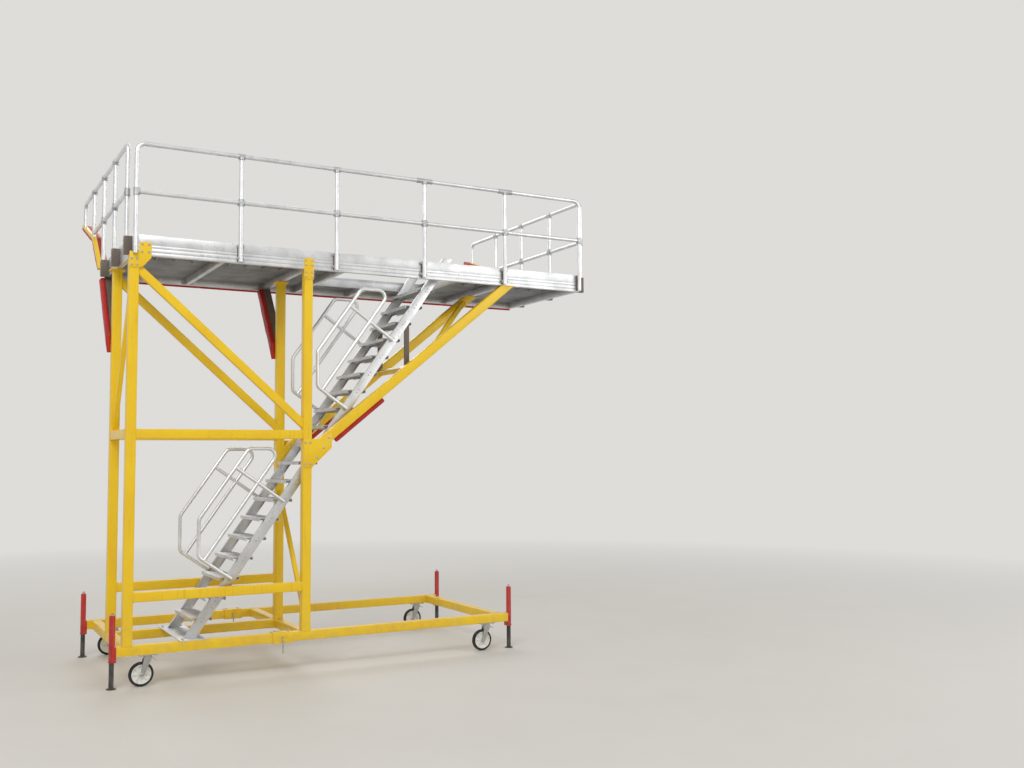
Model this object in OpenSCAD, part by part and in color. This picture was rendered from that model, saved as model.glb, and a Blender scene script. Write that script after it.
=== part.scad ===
// Mobile aircraft access stand: a steel tower on a wheeled base, an aluminium deck that
// reaches out past the tower on two diagonals, and one straight flight of stairs inside it.
// Millimetres, +Z up. X runs along the deck, Y from the open front to the aircraft's side.

/* [Base] */
// Width and height of the square base beams
beam_w = 100; // [80:5:120]
// Height of the underside of the base beams above the floor
beam_z = 324; // [318:2:360]
// Length of the base from the left to the right beam ends
base_len = 4540; // [4200:20:4900]
// Distance from the front base beam to the rear base beam, centre to centre
base_dep = 2050; // [1700:10:2400]
// How far the base beams pass the left columns' centres
base_overhang = 105; // [90:5:200]
// Length of the sleeve that joins the two halves of a base beam
sleeve_len = 215; // [160:5:300]
// Wall of that sleeve
sleeve_wall = 10; // [6:1:12]
// Diameter of the locking pin in each sleeve
lock_pin_d = 16; // [10:1:20]

/* [Tower] */
// Width of the square tower columns
column_w = 100; // [80:5:110]
// Distance from the left to the right columns, centre to centre
tower_len = 1886; // [1700:10:2100]
// Distance from the front to the rear columns, centre to centre
tower_dep = 1005; // [950:5:1100]
// Height of the deck's underside above the floor
deck_under = 4455; // [4200:10:4800]
// Height of the horizontal rails' centres above the floor: lower and middle
lower_rail_z = 910; // [700:10:1100]
// Height of the middle rails' centres above the floor
middle_rail_z = 2588; // [2400:10:2800]
// Thickness of the steel plates
plate_t = 8; // [6:1:12]
// Depth of the tower's diagonal braces
brace_h = 90; // [60:5:100]
// Depth of the thin braces in the two ends of the tower
end_brace_h = 50; // [40:5:70]

/* [Cantilever] */
// Depth of the two diagonals that carry the deck's far part
arm_h = 110; // [80:5:130]
// Height of the arms' centre lines where they leave the right columns
arm_foot_z = 2400; // [2200:10:2600]
// Distance from the left columns to the arms' heads under the deck
arm_head_x = 4460; // [4200:20:4800]
// Thickness of the red pads under the arms and beside the knee braces
pad_t = 60; // [30:5:80]
// Length of the red pads under the arms
arm_pad_len = 760; // [400:20:1200]
// Depth of the bars that tie the two arms together
tie_h = 60; // [40:5:80]

/* [Deck] */
// Length of the deck
deck_len = 5540; // [5200:20:5900]
// Distance from the deck's front edge to its inner edge
deck_dep = 1830; // [1600:10:2100]
// How far the deck passes the left columns' centres
deck_overhang = 20; // [10:5:50]
// Depth of the deck's edge beams
edge_h = 110; // [90:5:140]
// Width of the deck's edge beams
edge_w = 50; // [40:5:60]
// Thickness of the deck's planks
plank_t = 30; // [20:1:40]
// Number of planks side by side
plank_n = 9; // [7:1:12]
// Gap between planks
plank_gap = 3; // [2:0.5:5]
// Height of the toe board above the deck
toe_h = 105; // [80:5:150]
// Thickness of the toe board
toe_t = 8; // [5:1:10]
// Side of the red bumper along the inner edge
bumper_t = 60; // [40:5:80]

/* [Guardrails] */
// Diameter of the guardrail tubes
rail_d = 48; // [40:1:50]
// Height of the top rail's centre above the deck
top_rail_h = 1065; // [950:5:1150]
// Height of the middle rail's centre above the deck
mid_rail_h = 550; // [450:5:600]
// Number of bays in the front guardrail
front_bays = 5; // [4:1:6]
// Distance between the posts of the end guardrails
end_pitch = 770; // [700:5:800]
// Bend radius of the front rail's corners
front_bend = 90; // [70:5:150]
// Bend radius of the end rails' corners
end_bend = 70; // [60:5:120]
// Outer diameter of the joint fittings on the tubes
fitting_d = 62; // [56:1:70]

/* [Stairs] */
// Slope of the stairs, in degrees
stair_slope = 54.9; // [50:0.5:60]
// Distance from the left columns' centres to the foot of the stairs
stair_foot_x = 655; // [500:10:800]
// Depth of the stringers across the slope
stringer_h = 105; // [90:5:130]
// Width of the stringers' flanges
stringer_w = 40; // [30:5:50]
// Thickness of the stringers' webs and flanges
stringer_t = 5; // [4:0.5:8]
// Depth of a tread
tread_dep = 225; // [180:5:260]
// Thickness of a tread
tread_t = 36; // [25:1:45]
// Number of risers from the base to the deck
riser_n = 20; // [18:1:22]
// Diameter of the stairs' handrail tubes
hand_d = 40; // [30:1:42]
// Bend radius of the handrails
hand_bend = 80; // [50:5:100]

/* [Jacks and casters] */
// Outer diameter of the red jack tubes
jack_d = 60; // [52:2:70]
// Diameter of the jack legs
leg_d = 50; // [40:1:51]
// Diameter of the jacks' feet
foot_d = 100; // [80:5:140]
// Length of a jack tube
jack_len = 465; // [400:5:500]
// Length of a jack leg
leg_len = 510; // [460:10:540]
// Diameter of a wheel over its tyre
wheel_d = 250; // [200:2:250]
// Width of a wheel
wheel_w = 50; // [40:2:60]
// Distance from a caster's pivot to its wheel's axle
trail = 62; // [40:2:80]
// Diameter of a wheel's axle
axle_d = 20; // [12:1:25]

/* [Hidden] */
fit = 0.3;
slack = 0.05;
$fn = 48;

// Places that follow from the sizes above
half_col = column_w / 2;
half_beam = beam_w / 2;
beam_top = beam_z + beam_w;
base_x0 = -base_overhang;
base_x1 = base_x0 + base_len;
sleeve_x0 = tower_len - half_beam - 111 - sleeve_len;
splice_x = sleeve_x0 + sleeve_len * 0.75;
head_plate = column_w + 50;
head_plate_t = 10;
// Plates in front of the front columns' heads: left with a raised corner, right plain
corner_plate_reach = half_col + 120;
corner_plate_in = half_col - 5;
corner_plate_notch = 35;
right_plate_w = column_w + 16;
front_plate_drop = 115;
front_plate_rise = 15;
// Gusset plates at the arms' feet, measured from the joint of arm and column
gusset_drop = 180;
gusset_rise = 140;
gusset_reach = 280;
gusset_shoulder = 150;
gusset_tip = [40, 215];
deck_x0 = -deck_overhang;
deck_x1 = deck_x0 + deck_len;
deck_y0 = -half_col;
deck_y1 = deck_y0 + deck_dep;
deck_top = deck_under + edge_h;
plank_z = deck_top - plank_t;
plank_pitch = (deck_dep - 2 * edge_w) / plank_n;
plank_y0 = deck_y0 + edge_w;

// The stairwell is five planks wide
well_planks = 5;
well_x0 = 2330;
well_x1 = 3720;
well_y1 = plank_y0 + well_planks * plank_pitch;
joist_w = 50;
joist_h = edge_h - plank_t;

rail_r = rail_d / 2;
coupling_len = 190;
rail_z = deck_top + top_rail_h;
mid_z = deck_top + mid_rail_h;
bracket_t = 10;
front_rail_y = deck_y0 - bracket_t - rail_r;
front_pitch = (deck_len - 2 * deck_overhang) / front_bays;
end_rail_out = 55;
end_rail_x = [deck_x0 - end_rail_out, deck_x1 + end_rail_out];
end_posts = 5;
// First end post that stands on the crown arm, counted from 0
crown_post = 3;
socket_w = 56;
socket_z = deck_top + 85;

// Crown arm: the padded bar that follows the top of the fuselage past the deck's inner edge
crown_start_in = 20;
crown_knee = [520, 465];
crown_end = [1420, 785];
crown_path = [[deck_y1 - crown_start_in, deck_top],
              [deck_y1 + crown_knee.x, deck_top + crown_knee.y],
              [deck_y1 + crown_end.x, deck_top + crown_end.y]];
crown_t = 70;
crown_w = 130;
crown_bar = 50;
crown_in = 34;

stair_y = [75, tower_dep - 75];
stair_dir = [cos(stair_slope), sin(stair_slope)];
foot_plate_t = 10;
stair_foot = [stair_foot_x, beam_top + foot_plate_t];
riser = (deck_top - beam_top) / riser_n;
stringer_top = deck_top + 185;
hand_out = 25;
hand_strut_gap = 1000;
hand_corner = 430;
hand_mid = 360;
hand_outer = 660;
hand_len = 1250;
// Distance from the deck's underside down to the top of the upper handrail section
hand_head_gap = 164;
// Where the two handrail sections start, measured up the slope from the stair's foot
hand_starts = [730, (deck_under - hand_head_gap - stair_foot.y - hand_outer * stair_dir.x)
    / stair_dir.y - hand_len];
foot_plate_reach = [130, 140];

jack_gap = 7;
jack_x = [base_x0 - jack_gap - jack_d / 2, base_x1 + jack_gap + jack_d / 2];
jack_y = [0, base_dep];
jack_z0 = 268;
jack_cap_t = 6;
foot_t = 10;

caster_inset = [315, 275];
caster_x = [base_x0 + caster_inset[0], base_x1 - caster_inset[1]];
caster_plate = [190, 95];
caster_plate_t = 8;
head_d = 84;
head_h = 22;
crown_plate_t = 10;
fork_t = 6;
fork_gap = 6;
hub_w = wheel_w + 2;
wheel_r = wheel_d / 2;
rim_r = 98;
fork_top = beam_z - caster_plate_t - head_h;

// Middle of the whole stand, which goes to the origin
x_low = jack_x[0] - foot_d / 2;
x_high = crown_outer_x(1);
y_low = front_rail_y - fitting_d / 2;
y_high = crown_path[2].x;
centre_x = (x_low + x_high) / 2;
centre_y = (y_low + y_high) / 2;

function crown_outer_x(side) = side == 0
    ? end_rail_x[0] - crown_w / 2 + crown_in
    : end_rail_x[1] + crown_w / 2 - crown_in;

STEEL = "gold";
ALLOY = "gainsboro";
RED = "firebrick";
BLACK = "dimgray";

// Moves a piece from the left front column's foot to the middle of the stand
module seat() {
    translate([-centre_x, -centre_y, 0]) children();
}

// Block between two opposite corners
module block(low, high) {
    translate(low) cube(high - low);
}

// Upright wall in the X-Z plane, from y0, t thick, of a flat outline
module slab_xz(y0, t) {
    translate([0, y0 + t, 0]) rotate([90, 0, 0]) linear_extrude(t) children();
}

// Upright wall in the Y-Z plane, from x0, t thick, of a flat outline
module slab_yz(x0, t) {
    translate([x0, 0, 0]) rotate([90, 0, 90]) linear_extrude(t) children();
}

function unit(v) = v / norm(v);
function left_of(v) = [-v.y, v.x];
function at_side(path, i, d) =
    let (a = left_of(unit(path[max(i, 1)] - path[max(i, 1) - 1])),
         last = len(path) - 2,
         b = left_of(unit(path[min(i, last) + 1] - path[min(i, last)])),
         m = unit(a + b))
    path[i] + m * d / (m * a);

// Flat outline that follows a path, from d0 to d1 on its left
module band(path, d0, d1) {
    polygon(concat(
        [for (i = [0:len(path) - 1]) at_side(path, i, d0)],
        [for (i = [len(path) - 1:-1:0]) at_side(path, i, d1)]));
}

// Straight flat bar between two points, run on past both and cut to a window
module cut_bar(from, to, h, low, high) {
    along = unit(to - from);
    intersection() {
        band([from - along * h * 2, to + along * h * 2], -h / 2, h / 2);
        translate(low) square(high - low);
    }
}

// Round tube along X, Y or Z between two points, in either order
module rod(from, to, d) {
    v = to - from;
    translate([min(from.x, to.x), min(from.y, to.y), min(from.z, to.z)])
        rotate(v.x != 0 ? [0, 90, 0] : v.y != 0 ? [-90, 0, 0] : [0, 0, 0])
            cylinder(d = d, h = norm(v));
}

// Base
module base_beam(y, x0, x1) {
    difference() {
        block([x0, y - half_beam, beam_z], [x1, y + half_beam, beam_top]);
        splice_pin_hole(y);
    }
}

module splice_pin_hole(y) {
    translate([sleeve_x0 + sleeve_len / 2, y - beam_w, beam_z + half_beam])
        rotate([-90, 0, 0]) cylinder(d = lock_pin_d + 1, h = 2 * beam_w);
}

module base_beams() {
    color(STEEL)
        for (y = jack_y) base_beam(y, base_x0, splice_x - fit);
}

module base_extensions() {
    color(STEEL)
        for (y = jack_y) base_beam(y, splice_x, base_x1);
}

module base_middle_beam() {
    color(STEEL)
        block([-half_col, tower_dep - half_beam, beam_z],
              [tower_len + half_col, tower_dep + half_beam, beam_top]);
}

// Cross beams between the long beams: middle of the beam, first and last y
cross_beams = [
    [0, 0, tower_dep],
    [0, tower_dep, base_dep],
    [tower_len, 0, tower_dep],
    [tower_len, tower_dep, base_dep],
    [base_x1 - beam_w, 0, base_dep]
];

module base_cross_beams() {
    color(STEEL)
        for (beam = cross_beams)
            block([beam[0] - half_beam, beam[1] + half_beam, beam_z],
                  [beam[0] + half_beam, beam[2] - half_beam, beam_top]);
}

module splice_sleeves() {
    outer = beam_w + 2 * sleeve_wall;
    color(STEEL)
        for (y = jack_y)
            difference() {
                translate([sleeve_x0, y - outer / 2, beam_z - sleeve_wall])
                    cube([sleeve_len, outer, outer]);
                translate([sleeve_x0 - 1, y - half_beam - fit, beam_z - fit])
                    cube([sleeve_len + 2, beam_w + 2 * fit, beam_w + 2 * fit]);
                splice_pin_hole(y);
            }
}

// Locking pin through a sleeve, with its handle hanging in front
module splice_pins() {
    handle_drop = 175;
    reach = half_beam + sleeve_wall + 15;
    color("silver")
        for (y = jack_y)
            translate([sleeve_x0 + sleeve_len / 2, y, beam_z + half_beam]) {
                rod([0, -reach, 0], [0, reach, 0], lock_pin_d);
                translate([0, -reach, lock_pin_d / 2])
                    rod([0, 0, -handle_drop], [0, 0, 0], lock_pin_d);
            }
}

// Tower
module column(x, y, top) {
    block([x - half_col, y - half_col, beam_top], [x + half_col, y + half_col, top]);
}

module front_columns() {
    color(STEEL)
        for (x = [0, tower_len]) column(x, 0, deck_under);
}

module rear_columns() {
    color(STEEL)
        for (x = [0, tower_len]) {
            column(x, tower_dep, deck_under - head_plate_t);
            translate([x - head_plate / 2, tower_dep - head_plate / 2, deck_under - head_plate_t])
                cube([head_plate, head_plate, head_plate_t]);
        }
}

// Plates on the front columns' heads that hold the deck's edge beam
module column_head_plates() {
    low = deck_under - front_plate_drop;
    high = deck_top + front_plate_rise;
    foot = low - 20;
    crest = high + 15;
    notch = deck_under + corner_plate_notch;
    color(STEEL) {
        slab_xz(-half_col - plate_t, plate_t)
            polygon([[-half_col, foot], [half_col, foot], [half_col + 40, low],
                     [corner_plate_reach, low + 90], [corner_plate_reach, crest],
                     [corner_plate_in, crest], [corner_plate_in, notch], [-half_col, notch]]);
        slab_xz(-half_col - plate_t, plate_t)
            translate([tower_len - right_plate_w / 2, low])
                square([right_plate_w, high - low]);
    }
}

module rail_along_x(y, z) {
    block([half_col, y - half_col, z - half_col],
          [tower_len - half_col, y + half_col, z + half_col]);
}

// Level rails: two pairs along the tower and one across its left end
module tower_rails() {
    color(STEEL) {
        for (y = [0, tower_dep])
            for (z = [lower_rail_z, middle_rail_z]) rail_along_x(y, z);
        block([-half_col, half_col, middle_rail_z - half_col],
              [half_col - fit, tower_dep - half_col, middle_rail_z + half_col]);
    }
}

// Diagonals of the upper bay, front and rear, from the left column's head
module tower_diagonals() {
    brace_w = 60;
    color(STEEL)
        for (y = [0, tower_dep])
            slab_xz(y - brace_w / 2, brace_w)
                cut_bar([half_col, deck_under - 140],
                        [tower_len - half_col, middle_rail_z + half_col + 75], brace_h,
                        [half_col, middle_rail_z + half_col], [tower_len - half_col, deck_under]);
}

// Thin braces in the left end's upper bay and low in the right end: heights of their two
// ends, measured from the deck's underside, the middle rails and the lower rails
end_brace_upper = [-220, 110];
end_brace_lower = [-270, 990];

module end_braces() {
    color(STEEL) {
        slab_yz(-end_brace_h / 2, end_brace_h)
            cut_bar([half_col, deck_under + end_brace_upper[0]],
                    [tower_dep - half_col, middle_rail_z + end_brace_upper[1]],
                    end_brace_h, [half_col, middle_rail_z + half_col],
                    [tower_dep - half_col, deck_under]);
        slab_yz(tower_len - end_brace_h / 2, end_brace_h)
            cut_bar([half_col, lower_rail_z + end_brace_lower[0]],
                    [tower_dep - half_col, lower_rail_z + end_brace_lower[1]], end_brace_h,
                    [half_col, beam_top], [tower_dep - half_col, deck_under]);
    }
}

// Cantilever
arm_foot = [tower_len + half_col, arm_foot_z];
arm_head = [arm_head_x, deck_under];
arm_dir = unit(arm_head - arm_foot);
arm_slope = atan2(arm_dir.y, arm_dir.x);
arm_w = 100;
// Where each tie starts on the front arm and ends on the rear one, up from the arms' feet
ties = [[1560, 1560], [1960, 3080]];
hanger_w = 60;
hanger_t = 30;

module arms() {
    color(STEEL)
        for (y = [0, tower_dep])
            slab_xz(y - arm_w / 2, arm_w)
                cut_bar(arm_foot, arm_head, arm_h, [tower_len + half_col, beam_top],
                        [deck_x1, deck_under]);
}

// Gusset plates over the joints of arms and right columns
module arm_gussets() {
    x = tower_len;
    color(STEEL)
        for (y = [-half_col - plate_t, tower_dep + half_col])
            slab_xz(y, plate_t)
                translate([x, arm_foot_z])
                    polygon([[-half_col, -gusset_drop], [half_col, -gusset_drop],
                             [gusset_reach, gusset_tip.x], [gusset_reach, gusset_tip.y],
                             [gusset_shoulder, gusset_rise], [-half_col, gusset_rise]]);
}

// Point on the arms' centre line, by its distance from the foot
function on_arm(s) = arm_foot + arm_dir * s;

// Bars between the arms: one straight across and one slanting, both in the arms' plane
module arm_ties() {
    inner = [half_col, tower_dep - half_col];
    color(STEEL)
        translate([arm_foot.x, 0, arm_foot.y])
            rotate([0, -arm_slope, 0])
                translate([0, 0, -tie_h / 2])
                    linear_extrude(tie_h)
                        for (tie = ties)
                            cut_bar([tie[0], inner[0]], [tie[1], inner[1]], tie_h,
                                    [0, inner[0]], [norm(arm_head - arm_foot), inner[1]]);
}

// Posts from the straight tie up to the stringers, cut to the stringers' slope
module stair_hangers() {
    tie_x = on_arm(ties[0][0]).x;
    tie_z = on_arm(ties[0][0]).y;
    top = stair_foot.y + (tie_x - stair_foot.x) * tan(stair_slope) - stringer_h;
    color("darkgray")
        for (y = [stair_y[0], stair_y[1] - hanger_t])
            slab_xz(y, hanger_t)
                difference() {
                    translate([tie_x - hanger_w / 2, tie_z])
                        square([hanger_w, top - tie_z + 2 * stringer_h]);
                    band([on_arm(-arm_h), on_arm(2 * ties[1][1])], -arm_h * 2, tie_h / 2 + fit);
                    band([on_stair(0, 0), on_stair(stringer_len, 0)],
                         -stringer_h / 2 - fit, 4 * stringer_h);
                }
}

// Red pads along the underside of the arms
module arm_pads() {
    start = 300;
    color(RED)
        for (y = [0, tower_dep])
            translate([on_arm(start).x, y - pad_t / 2, on_arm(start).y])
                rotate([0, -arm_slope, 0])
                    translate([0, 0, -arm_h / 2 - pad_t - fit])
                        cube([arm_pad_len, pad_t, pad_t]);
}

// Knee braces from the rear columns to the deck's inner edge
knee_drop = 790;
knee_inset = 150;
knee_foot = [tower_dep + half_col, deck_under - knee_drop];
knee_head = [deck_y1 - knee_inset, deck_under];
knee_h = 70;
knee_w = arm_w * 0.9;
knee_side_pad_t = 50;

module knee_braces() {
    color("darkgray")
        for (x = [0, tower_len])
            slab_yz(x - knee_w / 2, knee_w)
                cut_bar(knee_foot, knee_head, knee_h, [knee_foot.x, beam_top],
                        [deck_y1, deck_under]);
}

// Red pads of the knee braces: under the brace, where it faces the fuselage, and round its
// left side
module knee_pads() {
    along = unit(knee_head - knee_foot);
    out = -left_of(along);
    under = out * (knee_h + pad_t + 2 * fit) / 2;
    beside = out * (pad_t + fit) / 2;
    low = [knee_foot.x + fit, beam_top];
    high = [deck_y1, deck_under - fit];
    color(RED)
        for (x = [0, tower_len]) {
            left = x - knee_w / 2 - knee_side_pad_t;
            slab_yz(left, knee_w + knee_side_pad_t)
                cut_bar(knee_foot + under, knee_head + under, pad_t, low, high);
            slab_yz(left, knee_side_pad_t - fit)
                cut_bar(knee_foot + beside, knee_head + beside, knee_h + fit + pad_t, low, high);
        }
}

// Deck
// Section of an edge beam, outer face at 0, with two grooves along that face
module edge_section() {
    groove = [4, 10];
    difference() {
        square([edge_w, edge_h]);
        for (z = [edge_h * 0.25, edge_h * 0.65])
            translate([-1, z]) square([groove.x + 1, groove.y]);
    }
}

module deck_edge_beams() {
    color(ALLOY) {
        translate([0, deck_y0, deck_under]) slab_yz(deck_x0, deck_len) edge_section();
        translate([0, deck_y1, deck_under])
            slab_yz(deck_x0, deck_len) mirror([1, 0]) edge_section();
        y0 = plank_y0 + fit;
        span = deck_y1 - edge_w - fit - y0;
        translate([deck_x0, 0, deck_under]) slab_xz(y0, span) edge_section();
        translate([deck_x1, 0, deck_under]) slab_xz(y0, span) mirror([1, 0]) edge_section();
    }
}

// Cross joists: middle of the joist and where it starts
joist_rows = [
    [930, plank_y0],
    [tower_len, plank_y0],
    [well_x0 - joist_w / 2, plank_y0],
    [3030, well_y1 + joist_w + fit],
    [well_x1 + joist_w / 2, plank_y0],
    [arm_head_x, plank_y0]
];

module deck_joists() {
    color(ALLOY) {
        for (row = joist_rows)
            block([row[0] - joist_w / 2, row[1], deck_under],
                  [row[0] + joist_w / 2, deck_y1 - edge_w, deck_under + joist_h]);
        block([well_x0 + fit, well_y1, deck_under],
              [well_x1 - fit, well_y1 + joist_w, deck_under + joist_h]);
    }
}

// Section of a plank: skin with grip ribs on top and legs below
module plank_section(w) {
    legs = 5;
    skin = 5;
    leg_t = 4;
    ribs = 8;
    translate([0, plank_t - skin - 1.5]) square([w, skin]);
    for (k = [0:legs - 1])
        translate([k * (w - leg_t) / (legs - 1), 0]) square([leg_t, plank_t - skin]);
    for (k = [0:ribs - 1])
        translate([(k + 0.5) * w / ribs - 4, plank_t - 3]) square([8, 3]);
}

module deck_planks() {
    x_in = deck_x0 + edge_w + fit;
    x_out = deck_x1 - edge_w - fit;
    color(ALLOY)
        for (i = [0:plank_n - 1]) {
            y0 = plank_y0 + i * plank_pitch + (i == 0 ? fit : plank_gap / 2);
            y1 = plank_y0 + (i + 1) * plank_pitch - (i == plank_n - 1 ? fit : plank_gap / 2);
            spans = i < well_planks ? [[x_in, well_x0], [well_x1, x_out]] : [[x_in, x_out]];
            for (span = spans)
                translate([0, y0, plank_z])
                    slab_yz(span[0], span[1] - span[0]) plank_section(y1 - y0);
        }
}

// Section of a toe board: thin wall with a foot and a lip on the inside
module toe_section() {
    foot = 30;
    square([toe_t / 2, toe_h]);
    square([foot, toe_t / 2]);
    translate([0, toe_h - toe_t]) square([toe_t * 1.5, toe_t]);
}

// Upright boards round the front and the two ends
module toe_boards() {
    color(ALLOY) {
        translate([0, deck_y0, deck_top]) slab_yz(deck_x0, deck_len) toe_section();
        y0 = deck_y0 + 30 + fit;
        span = deck_y1 - crown_t * 2 - y0;
        translate([deck_x0, 0, deck_top]) slab_xz(y0, span) toe_section();
        translate([deck_x1, 0, deck_top]) slab_xz(y0, span) mirror([1, 0]) toe_section();
    }
}

module inner_bumper() {
    h = edge_h;
    nose = bumper_t / 2;
    color(RED)
        translate([0, deck_y1 + fit, deck_top - 5 - h])
            slab_yz(deck_x0, deck_len) {
                square([bumper_t - fit - nose, h]);
                for (z = [nose, h - nose]) translate([bumper_t - fit - nose, z]) circle(nose);
                translate([bumper_t - fit - nose, nose]) square([nose, h - 2 * nose]);
            }
}

// Guardrails
function front_post_x(i) = deck_x0 + deck_overhang + i * front_pitch;
front_last_x = front_post_x(front_bays);

end_last_y = end_pitch * (end_posts - 1);
end_mid_last = end_posts - 2;

// Round cut for a tube that butts against another
module coped(from, to) {
    rod(from, to, rail_d + 2 * fit);
}

module front_posts() {
    for (i = [0:front_bays]) {
        outer = i == 0 || i == front_bays;
        x = front_post_x(i);
        difference() {
            rod([x, front_rail_y, deck_under + 10],
                [x, front_rail_y, rail_z - (outer ? front_bend : 0)], rail_d);
            if (!outer)
                coped([x - rail_d, front_rail_y, rail_z], [x + rail_d, front_rail_y, rail_z]);
        }
    }
}

// What lies under the top face of the crown arm
module under_crown_arm(x) {
    top = [for (i = [0:2]) at_side(crown_path, i, crown_t / 2 + fit)];
    slab_yz(x - rail_d, 2 * rail_d)
        polygon(concat(top, [top[2] + unit(top[2] - top[1]) * crown_w],
                       [[y_high + crown_w, 0], [top[0].x, 0]]));
}

module end_post_row(x) {
    for (i = [0:end_posts - 1]) {
        y = i * end_pitch;
        outer = i == 0 || i == end_posts - 1;
        low = i < crown_post ? socket_z : crown_path[1].y - crown_t;
        difference() {
            rod([x, y, low], [x, y, rail_z - (outer ? end_bend : 0)], rail_d);
            if (!outer) coped([x, y - rail_d, rail_z], [x, y + rail_d, rail_z]);
            if (i >= crown_post) under_crown_arm(x);
        }
    }
}

module rail_posts() {
    color(ALLOY) {
        front_posts();
        for (x = end_rail_x) end_post_row(x);
    }
}

// Top rails, and middle rails in lengths between the posts
module rail_tubes() {
    color(ALLOY) {
        rod([front_post_x(0) + front_bend, front_rail_y, rail_z],
            [front_last_x - front_bend, front_rail_y, rail_z], rail_d);
        for (i = [0:front_bays - 1])
            difference() {
                rod([front_post_x(i), front_rail_y, mid_z],
                    [front_post_x(i + 1), front_rail_y, mid_z], rail_d);
                for (k = [i, i + 1])
                    coped([front_post_x(k), front_rail_y, mid_z - rail_d],
                          [front_post_x(k), front_rail_y, mid_z + rail_d]);
            }
        for (x = end_rail_x) {
            rod([x, end_bend, rail_z], [x, end_last_y - end_bend, rail_z], rail_d);
            for (i = [0:end_mid_last - 1])
                difference() {
                    rod([x, i * end_pitch, mid_z], [x, (i + 1) * end_pitch, mid_z], rail_d);
                    for (k = [i, i + 1])
                        coped([x, k * end_pitch, mid_z - rail_d], [x, k * end_pitch, mid_z + rail_d]);
                }
        }
    }
}

// Quarter bend of tube in the X-Z plane, from straight up to along +X
module quarter_bend(radius, d) {
    translate([radius, 0, 0])
        rotate([90, 0, 0])
            rotate([0, 0, 90])
                rotate_extrude(angle = 90) translate([radius, 0]) circle(d = d);
}

module rail_bends() {
    color(ALLOY) {
        translate([front_post_x(0), front_rail_y, rail_z - front_bend])
            quarter_bend(front_bend, rail_d);
        translate([front_last_x, front_rail_y, rail_z - front_bend])
            mirror([1, 0, 0]) quarter_bend(front_bend, rail_d);
        for (x = end_rail_x) {
            translate([x, 0, rail_z - end_bend])
                rotate([0, 0, 90]) quarter_bend(end_bend, rail_d);
            translate([x, end_last_y, rail_z - end_bend])
                rotate([0, 0, -90]) quarter_bend(end_bend, rail_d);
        }
    }
}

// Joint fitting round a post and a rail: along is the rail's direction, both ways or one
module fitting(place, along, back, up, sleeve = fitting_d * 0.65) {
    reach = fitting_d * 0.65;
    bore = rail_d + 2 * fit;
    translate(place)
        difference() {
            union() {
                rod(along * (back ? -sleeve : 0), along * sleeve, fitting_d);
                rod([0, 0, -reach], [0, 0, up ? reach : 0], fitting_d);
            }
            rod(along * (back ? -2 : 0) * sleeve, along * 2 * sleeve, bore);
            rod([0, 0, -2 * reach], [0, 0, (up ? 2 : 0) * reach], bore);
        }
}

module rail_fittings() {
    color("silver") {
        for (i = [1:front_bays - 1])
            fitting([front_post_x(i), front_rail_y, rail_z], [1, 0, 0], true, false,
                    i == 2 || i == 3 ? coupling_len / 2 : fitting_d * 0.65);
        for (i = [0:front_bays])
            fitting([front_post_x(i), front_rail_y, mid_z],
                    i == front_bays ? [-1, 0, 0] : [1, 0, 0], i > 0 && i < front_bays, true);
        for (x = end_rail_x) {
            for (i = [1:end_posts - 2])
                fitting([x, i * end_pitch, rail_z], [0, 1, 0], true, false);
            for (i = [0:end_mid_last])
                difference() {
                    fitting([x, i * end_pitch, mid_z],
                            i == end_mid_last ? [0, -1, 0] : [0, 1, 0],
                            i > 0 && i < end_mid_last, true);
                    under_crown_arm(x);
                }
        }
    }
}

// Plates behind the front posts and sockets under the end posts
module rail_brackets() {
    color("silver") {
        for (i = [1:front_bays])
            block([front_post_x(i) - 30, deck_y0 - bracket_t, deck_under + 10],
                  [min(front_post_x(i) + 30, deck_x1), deck_y0, deck_top + toe_h - 10]);
        for (side = [0, 1])
            for (i = [0:2]) {
                x = end_rail_x[side];
                edge_x = side == 0 ? deck_x0 : deck_x1;
                low_x = min(edge_x, x - socket_w / 2);
                high_x = max(edge_x, x + socket_w / 2);
                block([low_x, i * end_pitch - socket_w / 2, deck_under],
                      [high_x, i * end_pitch + socket_w / 2, socket_z]);
            }
    }
}

// Steel bar on top of each crown arm
module crown_bars() {
    color(STEEL)
        for (x = end_rail_x)
            slab_yz(x - crown_bar / 2, crown_bar)
                intersection() {
                    band(crown_path, 0, crown_t / 2);
                    translate([0, deck_top]) square([y_high, deck_top]);
                }
}

// Red padding below that bar and on its inner side; the bar's outer side stays open
module crown_pads() {
    color(RED)
        for (side = [0, 1]) {
            outward = side == 0 ? -1 : 1;
            outer_x = crown_outer_x(side);
            slot_w = (outer_x - end_rail_x[side]) * outward + crown_bar / 2 + fit + 1;
            difference() {
                slab_yz(min(outer_x, outer_x - outward * crown_w), crown_w)
                    intersection() {
                        band(crown_path, -crown_t / 2, crown_t / 2 - 1);
                        translate([0, deck_top + fit]) square([y_high, deck_top]);
                    }
                slab_yz(min(outer_x + outward, outer_x + outward * (1 - slot_w)), slot_w)
                    band(crown_path, -fit, crown_t);
            }
        }
}

// Stairs
// Point on the stairs by its distance up the slope and its height across it
function on_stair(s, p) = stair_foot + stair_dir * s + left_of(stair_dir) * p;

stringer_len = (stringer_top - stair_foot.y) / stair_dir.y;

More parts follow.
